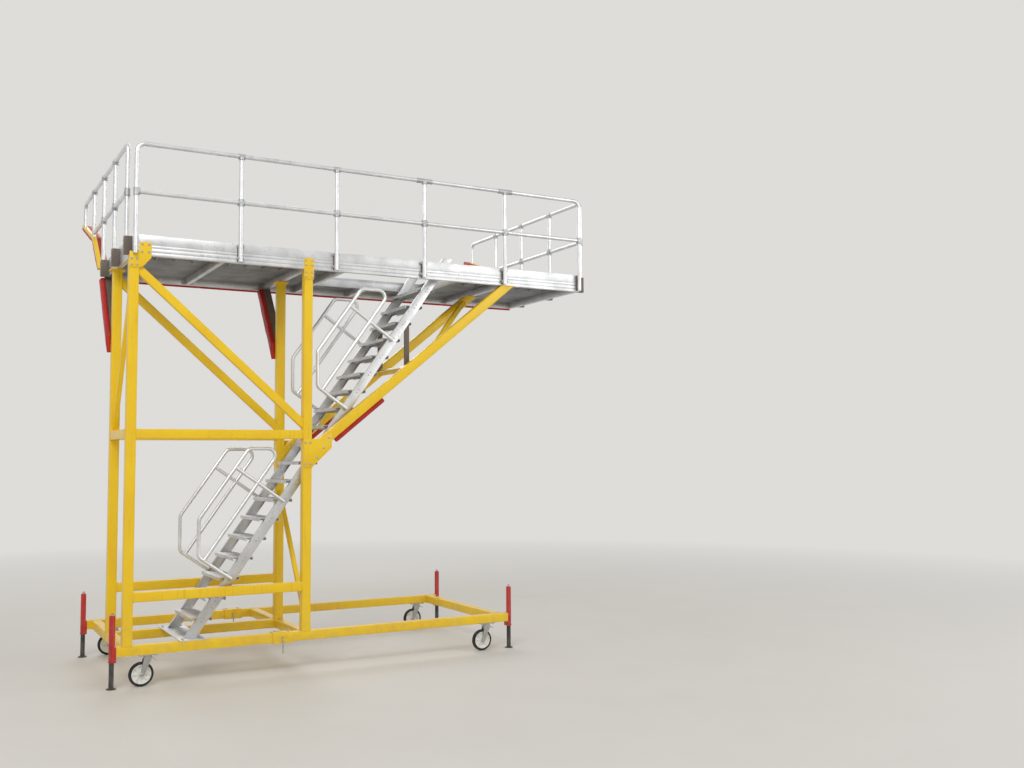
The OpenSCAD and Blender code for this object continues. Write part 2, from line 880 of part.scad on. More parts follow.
// Channel along the slope, web outwards, cut level at both ends
module stringer(y, inward) {
    web_y = inward > 0 ? y : y - stringer_t;
    flange_y = inward > 0 ? y : y - stringer_w;
    window_low = [0, stair_foot.y];
    window_high = [deck_x1, stringer_top];
    line = [on_stair(0, 0), on_stair(stringer_len, 0)];
    slab_xz(web_y, stringer_t)
        cut_bar(line[0], line[1], stringer_h, window_low, window_high);
    for (p = [-stringer_h / 2, stringer_h / 2 - stringer_t])
        slab_xz(flange_y, stringer_w)
            intersection() {
                band([on_stair(-stringer_h, p), on_stair(stringer_len + stringer_h, p)],
                     0, stringer_t);
                translate(window_low) square(window_high - window_low);
            }
}

module stair_stringers() {
    color(ALLOY) {
        stringer(stair_y[0], 1);
        stringer(stair_y[1], -1);
    }
}

// Section of a tread: skin with grip ribs, legs below and a deep front edge
module tread_section() {
    skin = 4;
    legs = [0, tread_dep * 0.35, tread_dep * 0.7, tread_dep - 4];
    ribs = 9;
    translate([0, tread_t - skin - 2]) square([tread_dep, skin]);
    for (x = legs) translate([x, 0]) square([4, tread_t - skin]);
    square([14, 4]);
    translate([tread_dep - 14, 0]) square([14, 4]);
    for (k = [0:ribs - 1])
        translate([(k + 0.5) * tread_dep / ribs - 5, tread_t - 4]) square([10, 4]);
}

module stair_treads() {
    y0 = stair_y[0] + stringer_t;
    y1 = stair_y[1] - stringer_t;
    flange_in = stringer_w - stringer_t + fit;
    color(ALLOY)
        for (k = [1:riser_n - 1]) {
            top = beam_top + k * riser;
            mid_x = stair_foot.x + (top - tread_t / 2 - stair_foot.y) / tan(stair_slope);
            intersection() {
                translate([mid_x - tread_dep / 2, 0, top - tread_t])
                    slab_xz(y0, y1 - y0) tread_section();
                union() {
                    block([0, y0 + flange_in, 0], [deck_x1, y1 - flange_in, deck_top]);
                    slab_xz(y0, y1 - y0)
                        band([on_stair(0, 0), on_stair(stringer_len, 0)],
                             -stringer_h / 2 + stringer_t + fit,
                             stringer_h / 2 - stringer_t - fit);
                }
            }
        }
}

module stair_foot_plate() {
    color(STEEL)
        block([stair_foot_x - foot_plate_reach[0], -half_col, beam_top],
              [stair_foot_x + foot_plate_reach[1], tower_dep + half_col, stair_foot.y]);
}

// Turn of a path at an inner point, and how much of each run a bend there takes up
function turn(path, i) =
    let (a = unit(path[i] - path[i - 1]), b = unit(path[i + 1] - path[i]))
    atan2(a.x * b.y - a.y * b.x, a * b);
function cutback(path, i) =
    i <= 0 || i >= len(path) - 1 ? 0 : hand_bend * tan(abs(turn(path, i)) / 2);

// Straight tube between two points of the X-Z plane
module run(from, to, d) {
    along = unit(to - from);
    translate([from.x, 0, from.y])
        rotate([0, 90 - atan2(along.y, along.x), 0])
            cylinder(d = d, h = norm(to - from));
}

// Straight run of a handrail tube, which stops where the bends at its ends start
module tube_run(path, i) {
    along = unit(path[i + 1] - path[i]);
    run(path[i] + along * cutback(path, i), path[i + 1] - along * cutback(path, i + 1), hand_d);
}

// Bends of that tube
module tube_bends(path) {
    for (i = [1:len(path) - 2]) {
        a = unit(path[i] - path[i - 1]);
        way = sign(turn(path, i));
        middle = path[i] - a * cutback(path, i) + left_of(a) * hand_bend * way;
        heading = atan2(a.y, a.x);
        translate([middle.x, 0, middle.y])
            rotate([90, 0, 0])
                rotate([0, 0, way > 0 ? heading - 90 : heading + 90 + turn(path, i)])
                    rotate_extrude(angle = abs(turn(path, i)))
                        translate([hand_bend, 0]) circle(d = hand_d);
    }
}

// Corners of one handrail section, from its foot up, over and back down as the middle rail
function hand_path(start) =
    let (rise = hand_outer - hand_corner,
         top = on_stair(start + hand_len, hand_outer),
         turn_back = (top.y - on_stair(0, hand_mid).y) / stair_dir.y)
    [on_stair(start, 0), on_stair(start, hand_corner),
     on_stair(start + rise * tan(stair_slope), hand_outer), top,
     on_stair(turn_back, hand_mid), on_stair(start, hand_mid)];

// Planes of the handrails and the stringers' webs beside them
hand_planes = [[stair_y[0] - hand_out, stair_y[0]], [stair_y[1] + hand_out, stair_y[1]]];

module handrail_tubes() {
    color(ALLOY)
        for (plane = hand_planes)
            for (start = hand_starts) {
                path = hand_path(start);
                strut = start + hand_strut_gap;
                translate([0, plane[0], 0]) {
                    for (i = [0:len(path) - 3]) tube_run(path, i);
                    difference() {
                        tube_run(path, len(path) - 2);
                        run(path[0], path[1], hand_d + 2 * fit);
                    }
                    difference() {
                        run(on_stair(strut, 0), on_stair(strut, hand_outer), hand_d);
                        run(path[2], path[3], hand_d + 2 * fit);
                        run(path[5], path[4], hand_d + 2 * fit);
                    }
                }
                for (s = [start, strut])
                    translate([on_stair(s, hand_d).x, min(plane), on_stair(s, hand_d).y])
                        rotate([-90, 0, 0])
                            cylinder(d = hand_d - 6, h = hand_out);
            }
}

module handrail_bends() {
    color(ALLOY)
        for (plane = hand_planes)
            for (start = hand_starts)
                translate([0, plane[0], 0]) tube_bends(hand_path(start));
}

// Jacks
module jack_tube(x, y, side) {
    end_x = side < 0 ? base_x0 : base_x1;
    spindle_d = 16;
    difference() {
        union() {
            translate([x, y, jack_z0]) cylinder(d = jack_d, h = jack_len);
            translate([x, y, jack_z0 + jack_len]) cylinder(d = jack_d - 12, h = jack_cap_t);
            translate([x, y, jack_z0 + jack_len]) cylinder(d = spindle_d, h = 30);
            block([side < 0 ? x : end_x, y - half_beam, jack_z0],
                  [side < 0 ? end_x : x, y + half_beam, beam_top]);
        }
        translate([x, y, jack_z0 - 1])
            cylinder(d = leg_d + 2 * slack, h = jack_len + 1 - jack_cap_t);
    }
}

module jack_tubes() {
    color(RED)
        for (y = jack_y) {
            jack_tube(jack_x[0], y, -1);
            jack_tube(jack_x[1], y, 1);
        }
}

module jack_leg(i, j) {
    color(BLACK)
        translate([jack_x[i], jack_y[j], 0]) {
            translate([0, 0, foot_t]) cylinder(d = leg_d, h = leg_len - foot_t);
            cylinder(d = foot_d, h = foot_t);
        }
}

// Casters
module caster_plates() {
    color("silver")
        for (x = caster_x)
            for (y = jack_y)
                translate([x, y, beam_z]) {
                    translate([-caster_plate.x / 2, -caster_plate.y / 2, -caster_plate_t])
                        cube([caster_plate.x, caster_plate.y, caster_plate_t]);
                    translate([0, 0, -caster_plate_t - head_h])
                        cylinder(d = head_d, h = head_h);
                }
}

// Fork with its crown plate, two legs, a brake pedal and the wheel's axle
module fork(i, j) {
    crown_low = fork_top - fit - crown_plate_t;
    inner = hub_w / 2 + fork_gap / 2;
    leg_outline = [[-40, crown_low], [40, crown_low], [18 - trail, wheel_r - 20],
                   [-18 - trail, wheel_r - 20]];
    color("silver")
        translate([caster_x[i], jack_y[j], 0]) {
            translate([-42, -inner - fork_t, crown_low])
                cube([84, 2 * (inner + fork_t), crown_plate_t]);
            for (y = [-inner - fork_t, inner])
                slab_xz(y, fork_t) polygon(leg_outline);
            translate([-trail, -inner - fork_t, wheel_r])
                rotate([-90, 0, 0]) cylinder(d = axle_d, h = 2 * (inner + fork_t));
            slab_xz(-15, 30)
                polygon([[38, crown_low], [52, crown_low], [90, crown_low - 24],
                         [90, crown_low - 31], [50, crown_low - 7], [38, crown_low - 7]]);
        }
}

// Turns a flat outline of radius and half width round a wheel's axle
module on_axle(i, j) {
    translate([caster_x[i] - trail, jack_y[j], wheel_r])
        rotate([90, 0, 0]) rotate_extrude($fn = 72) children();
}

// Moulded rim with a dished web, radial ribs and a hub bored for the axle
module rim(i, j) {
    half = wheel_w / 2 - 2;
    hub_r = axle_d / 2 + 14;
    ribs = 8;
    color("white") {
        for (k = [0:ribs - 1])
            translate([caster_x[i] - trail, jack_y[j], wheel_r])
                rotate([90, k * 360 / ribs, 0])
                    translate([hub_r - 2, -2.5, -half + 5])
                        cube([rim_r - hub_r - 4, 5, 2 * (half - 5)]);
        on_axle(i, j)
            polygon([
                [axle_d / 2 + slack, -hub_w / 2], [hub_r, -hub_w / 2], [hub_r, -8],
                [rim_r - 12, -8], [rim_r - 6, -half], [rim_r, -half], [rim_r, half],
                [rim_r - 6, half], [rim_r - 12, 8], [hub_r, 8], [hub_r, hub_w / 2],
                [axle_d / 2 + slack, hub_w / 2]]);
    }
}

module tyre(i, j) {
    half = wheel_w / 2 - 2;
    color(BLACK)
        on_axle(i, j)
            polygon([
                [rim_r + slack, -half], [wheel_r - 6, -half], [wheel_r - 1.5, -half + 7],
                [wheel_r, -half + 16], [wheel_r, half - 16], [wheel_r - 1.5, half - 7],
                [wheel_r - 6, half], [rim_r + slack, half]]);
}

seat() base_beams();
seat() base_extensions();
seat() base_middle_beam();
seat() base_cross_beams();
seat() splice_sleeves();
seat() splice_pins();
seat() front_columns();
seat() rear_columns();
seat() column_head_plates();
seat() tower_rails();
seat() tower_diagonals();
seat() end_braces();
seat() arm_gussets();
seat() arms();
seat() arm_ties();
seat() arm_pads();
seat() knee_braces();
seat() knee_pads();
seat() deck_edge_beams();
seat() deck_joists();
seat() deck_planks();
seat() toe_boards();
seat() inner_bumper();
seat() rail_posts();
seat() rail_tubes();
seat() rail_bends();
seat() rail_fittings();
seat() rail_brackets();
seat() crown_bars();
seat() crown_pads();
seat() stair_stringers();
seat() stair_treads();
seat() stair_foot_plate();
seat() stair_hangers();
seat() handrail_tubes();
seat() handrail_bends();
seat() jack_tubes();
seat() caster_plates();
seat() jack_leg(0, 0);  // jack_leg_front_left
seat() jack_leg(1, 0);  // jack_leg_front_right
seat() jack_leg(0, 1);  // jack_leg_rear_left
seat() jack_leg(1, 1);  // jack_leg_rear_right
seat() fork(0, 0);  // fork_front_left
seat() fork(1, 0);  // fork_front_right
seat() fork(0, 1);  // fork_rear_left
seat() fork(1, 1);  // fork_rear_right
seat() rim(0, 0);  // rim_front_left
seat() rim(1, 0);  // rim_front_right
seat() rim(0, 1);  // rim_rear_left
seat() rim(1, 1);  // rim_rear_right
seat() tyre(0, 0);  // tyre_front_left
seat() tyre(1, 0);  // tyre_front_right
seat() tyre(0, 1);  // tyre_rear_left
seat() tyre(1, 1);  // tyre_rear_right
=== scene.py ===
import logging
import math
from dataclasses import dataclass
from enum import Enum
from itertools import product
from typing import Callable, Iterable, Iterator, Optional, Sequence, Union

import bpy
from mathutils import Matrix, Vector


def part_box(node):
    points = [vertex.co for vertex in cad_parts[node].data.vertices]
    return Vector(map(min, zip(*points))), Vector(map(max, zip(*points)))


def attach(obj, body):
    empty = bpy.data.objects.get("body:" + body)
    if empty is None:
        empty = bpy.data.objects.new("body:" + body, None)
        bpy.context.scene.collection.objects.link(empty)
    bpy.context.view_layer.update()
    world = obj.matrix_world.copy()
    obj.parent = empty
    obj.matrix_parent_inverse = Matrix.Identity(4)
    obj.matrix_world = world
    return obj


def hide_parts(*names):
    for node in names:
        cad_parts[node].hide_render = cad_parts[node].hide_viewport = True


logging.basicConfig(level=logging.INFO, format="%(message)s")
LOG = logging.getLogger("stand")

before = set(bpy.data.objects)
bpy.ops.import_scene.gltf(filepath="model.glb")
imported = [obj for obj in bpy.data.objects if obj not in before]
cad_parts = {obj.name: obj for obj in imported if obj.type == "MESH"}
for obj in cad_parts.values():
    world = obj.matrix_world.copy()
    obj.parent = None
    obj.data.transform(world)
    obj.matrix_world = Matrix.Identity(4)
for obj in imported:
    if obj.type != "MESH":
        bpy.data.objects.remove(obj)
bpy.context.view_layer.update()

Pair = tuple[float, float]
Triple = tuple[float, float, float]
Outline = Sequence[Pair]
Piece = bpy.types.Object
Socket = bpy.types.NodeSocket
Seam = tuple[Vector, Vector]

# Sizes and places that several pieces share, in millimetres from the left front column's middle

MM = 0.001
COLUMN_HALF = 50.0
COLUMN_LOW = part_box("front_columns")[0]
ORIGIN = Vector((COLUMN_LOW.x + COLUMN_HALF * MM, COLUMN_LOW.y + COLUMN_HALF * MM, 0.0))
COLUMNS_X = (0.0, 1886.0)
BEAMS_Y = (0.0, 2050.0)
BEAMS_UNDER = 324.0
BEAMS_TOP = 424.0
PLATES_TOP = 434.0
DECK_UNDER = 4455.0
DECK_TOP = 4565.0
CROWN = (Vector((1760, 4565)), Vector((2300, 5030)), Vector((3200, 5350)))
X, Y, Z = Vector((1, 0, 0)), Vector((0, 1, 0)), Vector((0, 0, 1))
SHARP = 35.0


class Edges(Enum):
    """Which edges of a rolled or cut piece are rounded."""

    LONG = "along the piece"
    ALL = "every sharp edge"


# Places

def at(x: float, y: float, z: float) -> Vector:
    """Turns a place in the stand's millimetres into the scene's metres."""
    return ORIGIN + Vector((x, y, z)) * MM


def facing(place: Vector, across: Vector, out: Vector) -> Matrix:
    """Makes the matrix that seats a small part on a surface.

    Args:
        place: Where the part's own origin goes, in metres.
        across: Direction of the part's own X.
        out: Direction of the part's own Z, away from the surface.

    Returns:
        A matrix with no scale.
    """
    z = out.normalized()
    x = (across - z * across.dot(z)).normalized()
    turn = Matrix((x, z.cross(x), z)).transposed().to_4x4()
    return Matrix.Translation(place) @ turn


def seat(x: float, y: float, z: float, across: Vector = X, out: Vector = Z) -> Matrix:
    """Seats a small part as facing does, at a place in the stand's millimetres."""
    return facing(at(x, y, z), across, out)


def polar(radius: float, degrees: float) -> Pair:
    """Gives a point on a circle about the origin."""
    return radius * math.cos(math.radians(degrees)), radius * math.sin(math.radians(degrees))


def corners(xs: Pair) -> Iterator[tuple[str, float, float]]:
    """Names the base's four corners and gives their places along and across it."""
    for (row, y), (side, x) in product(zip(("front", "rear"), BEAMS_Y), zip(("left", "right"), xs)):
        yield f"{row}_{side}", x, y


# Modelling

def only(piece: Piece) -> None:
    """Selects one object and makes it active.

    Args:
        piece: The object.
    """
    bpy.ops.object.select_all(action="DESELECT")
    piece.select_set(True)
    bpy.context.view_layer.objects.active = piece


def open_mesh(piece: Piece, edges: Optional[Callable[[bpy.types.MeshEdge], bool]] = None,
              faces: Optional[Callable[[bpy.types.MeshPolygon], bool]] = None) -> None:
    """Enters edit mode on one object with all of it selected, or only some edges or faces.

    Args:
        piece: The object to edit.
        edges: Says whether an edge is selected.
        faces: Says whether a face is selected.
    """
    mesh, chosen = piece.data, edges or faces
    if chosen:
        for part in (*mesh.vertices, *mesh.edges, *mesh.polygons):
            part.select = False
        for part in mesh.edges if edges else mesh.polygons:
            part.select = chosen(part)
        bpy.context.tool_settings.mesh_select_mode = (False, bool(edges), bool(faces))
    only(piece)
    bpy.ops.object.mode_set(mode="EDIT")
    if not chosen:
        bpy.ops.mesh.select_all(action="SELECT")


def close_mesh() -> None:
    """Leaves edit mode."""
    bpy.ops.object.mode_set(mode="OBJECT")


def close_solid() -> None:
    """Merges doubled points, turns all faces outwards and leaves edit mode."""
    bpy.ops.mesh.select_all(action="SELECT")
    bpy.ops.mesh.remove_doubles(threshold=1e-6)
    bpy.ops.mesh.normals_make_consistent(inside=False)
    close_mesh()


def smooth(piece: Piece, degrees: float = SHARP) -> Piece:
    """Shades an object smooth, with creases at its sharp edges.

    Args:
        piece: The object.
        degrees: Angle from which an edge is a crease.

    Returns:
        The same object.
    """
    only(piece)
    bpy.ops.object.shade_smooth_by_angle(angle=math.radians(degrees))
    return piece


def joined(pieces: Sequence[Piece], name: str) -> Piece:
    """Joins objects into one.

    Args:
        pieces: The objects, at least one.
        name: The name of the result.

    Returns:
        The joined object.
    """
    only(pieces[0])
    for piece in pieces:
        piece.select_set(True)
    if len(pieces) > 1:
        bpy.ops.object.join()
    result = bpy.context.view_layer.objects.active
    result.name = result.data.name = name
    return result


def copies(template: Piece, places: Iterable[Matrix], name: str) -> Piece:
    """Copies a template to each place and joins the copies, each with its own mesh.

    Args:
        template: The part, modelled at the origin. It is used up.
        places: One matrix for each copy.
        name: The name of the result.

    Returns:
        The joined copies.
    """
    made = []
    for place in places:
        twin = bpy.data.objects.new(name, template.data.copy())
        twin.data.transform(place)
        if place.determinant() < 0:
            twin.data.flip_normals()
        bpy.context.scene.collection.objects.link(twin)
        made.append(twin)
    bpy.data.objects.remove(template)
    return joined(made, name)


def ring(points: Sequence[Vector], fill: str = "NOTHING") -> Piece:
    """Adds a closed ring of edges.

    Args:
        points: The ring's points in metres.
        fill: How the ring is filled.

    Returns:
        The ring.
    """
    bpy.ops.object.select_all(action="DESELECT")
    bpy.ops.mesh.primitive_circle_add(vertices=len(points), fill_type=fill)
    piece = bpy.context.object
    for vertex, point in zip(piece.data.vertices, points):
        vertex.co = point
    piece.matrix_world = Matrix()
    return piece


def rounded_rectangle(width: float, height: float, radius: float) -> Outline:
    """Outlines a rectangle about the origin, with three edges in each round corner.

    Args:
        width: Size along the first direction.
        height: Size along the second direction.
        radius: Radius of the corners.

    Returns:
        The outline's points in order.
    """
    points = []
    for turn, (sx, sy) in enumerate(((1, 1), (-1, 1), (-1, -1), (1, -1))):
        for k in range(4):
            u, v = polar(radius, 90 * (turn + k / 3))
            points.append((sx * (width / 2 - radius) + u, sy * (height / 2 - radius) + v))
    return points


def drawn_bar(outline: Outline, place: Matrix, length: float) -> Piece:
    """Draws an outline and extrudes it.

    Args:
        outline: The section in millimetres, in the X-Y plane of place.
        place: Where the section's origin and axes go.
        length: Length in millimetres along place's Z.

    Returns:
        The closed bar.
    """
    bar = ring([place @ Vector((u * MM, v * MM, 0)) for u, v in outline], "NGON")
    open_mesh(bar)
    way = place.to_3x3() @ Vector((0, 0, length * MM))
    bpy.ops.mesh.extrude_region_move(TRANSFORM_OT_translate={"value": way})
    close_solid()
    return bar


def turned(outline: Outline, steps: int = 32) -> Piece:
    """Turns a closed outline round the Z axis, as on a lathe.

    Args:
        outline: Radius and height of each point in millimetres, in order.
        steps: Number of steps in the full turn.

    Returns:
        The turned part, centred on the origin.
    """
    part = ring([Vector((r * MM, 0, h * MM)) for r, h in outline])
    open_mesh(part)
    bpy.ops.mesh.spin(steps=steps, angle=math.tau, center=(0, 0, 0), axis=(0, 0, 1))
    close_solid()
    return part


def rounded(path: Sequence[Vector], radius: float, steps: int = 8) -> list[Vector]:
    """Rounds the inner corners of a path.

    Args:
        path: The path's corners in metres.
        radius: Bend radius in millimetres.
        steps: Number of edges in each bend.

    Returns:
        The path with its bends.
    """
    points = [path[0]]
    for before, corner, after in zip(path, path[1:], path[2:]):
        back, on = (before - corner).normalized(), (after - corner).normalized()
        half = back.angle(on) / 2
        cut = radius * MM / math.tan(half)
        centre = corner + (back + on).normalized() * (radius * MM / math.sin(half))
        start, end = corner + back * cut, corner + on * cut
        for k in range(steps + 1):
            arm = (start - centre).slerp(end - centre, k / steps).normalized()
            points.append(centre + arm * radius * MM)
    points.append(path[-1])
    return points


def swept(wire: Piece, radius: float, fineness: int, caps: bool = False) -> Piece:
    """Turns a wire into a round bar.

    Args:
        wire: A mesh with edges only.
        radius: The bar's radius in millimetres.
        fineness: How finely its section is drawn.
        caps: Whether open ends are closed.

    Returns:
        The bar.
    """
    only(wire)
    bpy.ops.object.convert(target="CURVE")
    line = bpy.context.object.data
    line.bevel_depth, line.bevel_resolution = radius * MM, fineness
    line.use_fill_caps = caps
    bpy.ops.object.convert(target="MESH")
    return bpy.context.object


def tube(path: Sequence[Vector], radius: float) -> Piece:
    """Bends a round tube along a path.

    Args:
        path: The centre line's points in metres.
        radius: Outer radius in millimetres.

    Returns:
        The tube as a mesh with closed ends.
    """
    if len(path) == 2:
        path = [path[0], (path[0] + path[1]) / 2, path[1]]
    line = ring(path)
    ends = {0, len(path) - 1}
    open_mesh(line, edges=lambda edge: set(edge.vertices) == ends)
    bpy.ops.mesh.delete(type="EDGE_FACE")
    close_mesh()
    line = swept(line, radius, 5, caps=True)
    open_mesh(line)
    close_solid()
    return line


def islands(mesh: bpy.types.Mesh) -> list[int]:
    """Numbers the loose parts of a mesh.

    Args:
        mesh: The mesh.

    Returns:
        For each vertex, the number of a vertex that stands for its part.
    """
    leader = list(range(len(mesh.vertices)))

    def find(i: int) -> int:
        """Follows the leaders up from one vertex.

        Args:
            i: The vertex.

        Returns:
            The vertex that stands for its part.
        """
        while leader[i] != i:
            leader[i] = leader[leader[i]]
            i = leader[i]
        return i

    for edge in mesh.edges:
        leader[find(edge.vertices[0])] = find(edge.vertices[1])
    return [find(i) for i in range(len(leader))]


def sharp_edges(mesh: bpy.types.Mesh) -> dict[int, bool]:
    """Finds a mesh's sharp edges.

    Args:
        mesh: The mesh, with flat faces merged.

    Returns:
        The sharp edges' numbers, each with whether it runs along its loose part.
    """
    faces: dict[tuple[int, int], list[Vector]] = {}
    for face in mesh.polygons:
        for key in face.edge_keys:
            faces.setdefault(key, []).append(face.normal)
    group = islands(mesh)
    runs = [mesh.vertices[edge.vertices[1]].co - mesh.vertices[edge.vertices[0]].co
            for edge in mesh.edges]
    longest: dict[int, Vector] = {}
    for edge, run in zip(mesh.edges, runs):
        part = group[edge.vertices[0]]
        if part not in longest or run.length > longest[part].length:
            longest[part] = run
    found = {}
    for edge, run in zip(mesh.edges, runs):
        normals = faces.get(edge.key, [])
        if len(normals) == 2 and normals[0].dot(normals[1]) < math.cos(math.radians(SHARP)):
            along = longest[group[edge.vertices[0]]].normalized()
            found[edge.index] = abs(run.normalized().dot(along)) > 0.995
    return found


def node_copy(node: str, name: str) -> Piece:
    """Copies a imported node's mesh and merges its loose triangles into flat faces.

    Args:
        node: The node's name.
        name: The copy's name.

    Returns:
        The copy.
    """
    twin = bpy.data.objects.new(name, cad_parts[node].data.copy())
    bpy.context.scene.collection.objects.link(twin)
    twin.data.materials.clear()
    open_mesh(twin)
    bpy.ops.mesh.customdata_custom_splitnormals_clear()
    bpy.ops.mesh.remove_doubles(threshold=1e-5)
    bpy.ops.mesh.dissolve_limited(angle_limit=math.radians(0.4))
    close_mesh()
    return twin


def hex_bolt(width: float, head: float) -> Piece:
    """Models a bolt head on its washer, standing on the X-Y plane.

    Args:
        width: Size across the head's flats in millimetres.
        head: Height of the head in millimetres.

    Returns:
        The bolt.
    """
    thick = head * 0.25
    washer = turned([(0, 0), (width * 0.62, 0), (width * 0.66, thick * 0.4),
                     (width * 0.62, thick), (0, thick)], 20)
    corner = width / math.cos(math.radians(30)) / 2
    bolt = drawn_bar([polar(corner, 60 * k) for k in range(6)],
                     Matrix.Translation((0, 0, thick * MM)), head - thick)
    top = max(vertex.co.z for vertex in bolt.data.vertices)
    open_mesh(bolt, faces=lambda face: face.center.z > top - 1e-5)
    bpy.ops.mesh.inset(thickness=width * 0.08 * MM, depth=width * 0.05 * MM)
    close_mesh()
    return joined([washer, bolt], "bolt")


def pan_screw(width: float) -> Piece:
    """Models a low round screw head with a round recess, standing on the X-Y plane."""
    section = ((0, 0), (1, 0), (0.95, 0.3), (0.6, 0.52), (0.3, 0.55), (0.22, 0.35), (0, 0.35))
    return turned([(r * width / 2, h * width / 2) for r, h in section], 14)


# Materials

def linear(hex_colour: str) -> tuple[float, float, float, float]:
    """Turns an sRGB hex colour into the linear values that shaders take.

    Args:
        hex_colour: Six hex digits.

    Returns:
        Red, green, blue and alpha.
    """
    def channel(value: int) -> float:
        """Turns one channel into a linear value."""
        v = value / 255
        return v / 12.92 if v <= 0.04045 else ((v + 0.055) / 1.055) ** 2.4

    return (*(channel(int(hex_colour[i:i + 2], 16)) for i in (0, 2, 4)), 1.0)


def add_node(tree: bpy.types.NodeTree, kind: str, values: Optional[dict] = None,
             links: Optional[dict] = None, **attributes: object) -> bpy.types.Node:
    """Adds a shader node with its settings and links.

    Args:
        tree: The node tree.
        kind: The node's type, without the prefix that all shader nodes have.
        values: Input names or numbers with their values.
        links: Input names or numbers with the sockets that feed them.
        attributes: The node's own settings.

    Returns:
        The node.
    """
    node = tree.nodes.new(f"ShaderNode{kind}")
    for key, value in attributes.items():
        setattr(node, key, value)
    for key, value in (values or {}).items():
        node.inputs[key].default_value = value
    for key, socket in (links or {}).items():
        tree.links.new(socket, node.inputs[key])
    return node


def levels(low: float, high: float, to_low: float = 0.0, to_high: float = 1.0) -> dict[str, float]:
    """Gives the settings that map low and high to two other values."""
    return {"From Min": low, "From Max": high, "To Min": to_low, "To Max": to_high}


class Surface:
    """A material under construction, with the steps that the finishes share."""

    def __init__(self, name: str, metallic: float, roughness: float, ior: float = 1.5) -> None:
        """Starts a material.

        Args:
            name: The material's name.
            metallic: 1 for bare metal, 0 for all else.
            roughness: Mean roughness.
            ior: Index of refraction, left at the default for metal.
        """
        self.material = bpy.data.materials.new(name)
        self.material.use_nodes = True
        self.tree = self.material.node_tree
        self.shader = self.tree.nodes["Principled BSDF"]
        self.shader.inputs["Metallic"].default_value = metallic
        self.shader.inputs["Roughness"].default_value = roughness
        if metallic == 0:
            self.shader.inputs["IOR"].default_value = ior
        self.where = self.add("TexCoord", "Object")

    def add(self, kind: str, output: Union[str, int], values: Optional[dict] = None,
            links: Optional[dict] = None, **attributes: object) -> Socket:
        """Adds a node to the material as add_node does and gives one of its outputs."""
        return add_node(self.tree, kind, values, links, **attributes).outputs[output]

    def pattern(self, size_mm: float, detail: float = 3, cut: Optional[Pair] = None,
                to: Pair = (0.0, 1.0), stretch: Triple = (1, 1, 1), finer: float = 0.55,
                within: Optional[Socket] = None) -> Socket:
        """Draws an uneven pattern of patches, runs or lines with a real size.

        Args:
            size_mm: Size of a patch in millimetres.
            detail: Number of finer layers.
            cut: Levels between which the patches fade in, or none for a plain unevenness.
            to: What the two levels become.
            stretch: How many times longer the patches are along X, Y and Z.
            finer: Strength of the finer layers.
            within: Another pattern, outside which this one doesn't show.

        Returns:
            The pattern's value.
        """
        scale = [1000 / size_mm / s for s in stretch]
        place = self.add("Mapping", "Vector", {"Scale": scale}, {"Vector": self.where})
        value = self.add("TexNoise", "Fac", {"Scale": 1.0, "Detail": detail, "Roughness": finer},
                         {"Vector": place})
        if cut:
            value = self.add("MapRange", "Result", levels(*cut, *to), {"Value": value})
        if within is not None:
            value = self.add("Math", 0, links={0: value, 1: within}, operation="MULTIPLY")
        return value

    def layered(self, colour: str, *layers: tuple[Socket, str]) -> Socket:
        """Lays colours over one another.

        Args:
            colour: The lowest colour, in hex.
            layers: How much of each further colour shows, with the colour in hex.

        Returns:
            The colour that shows.
        """
        values, links = {6: linear(colour)}, {}
        for share, over in layers:
            shown = self.add("Mix", 2, {**values, 7: linear(over)}, {0: share, **links},
                             data_type="RGBA")
            values, links = {}, {6: shown}
        return shown

    def finished(self, colour: Socket, roughness: Optional[Socket] = None,
                 *bumps: tuple[Socket, float]) -> bpy.types.Material:
        """Feeds the shader.

        Args:
            colour: The colour.
            roughness: The roughness, where it varies.
            bumps: Heights that lie over each other, each with its depth in millimetres.

        Returns:
            The material.
        """
        normal = None
        for height, depth in bumps:
            links = {"Height": height} if normal is None else {"Height": height, "Normal": normal}
            normal = self.add("Bump", "Normal", {"Strength": 1.0, "Distance": depth * MM}, links)
        for name, socket in (("Base Color", colour), ("Roughness", roughness), ("Normal", normal)):
            if socket is not None:
                self.tree.links.new(socket, self.shader.inputs[name])
        return self.material


@dataclass(frozen=True)
class Finish:
    """A surface finish: its material's name and the record's slot."""

    name: str
    slot: str

    def made(self) -> bpy.types.Material:
        """Returns the material, which is built once."""
        return bpy.data.materials.get(self.name) or self.build()

    def build(self) -> bpy.types.Material:
        """Builds the material."""
        raise NotImplementedError


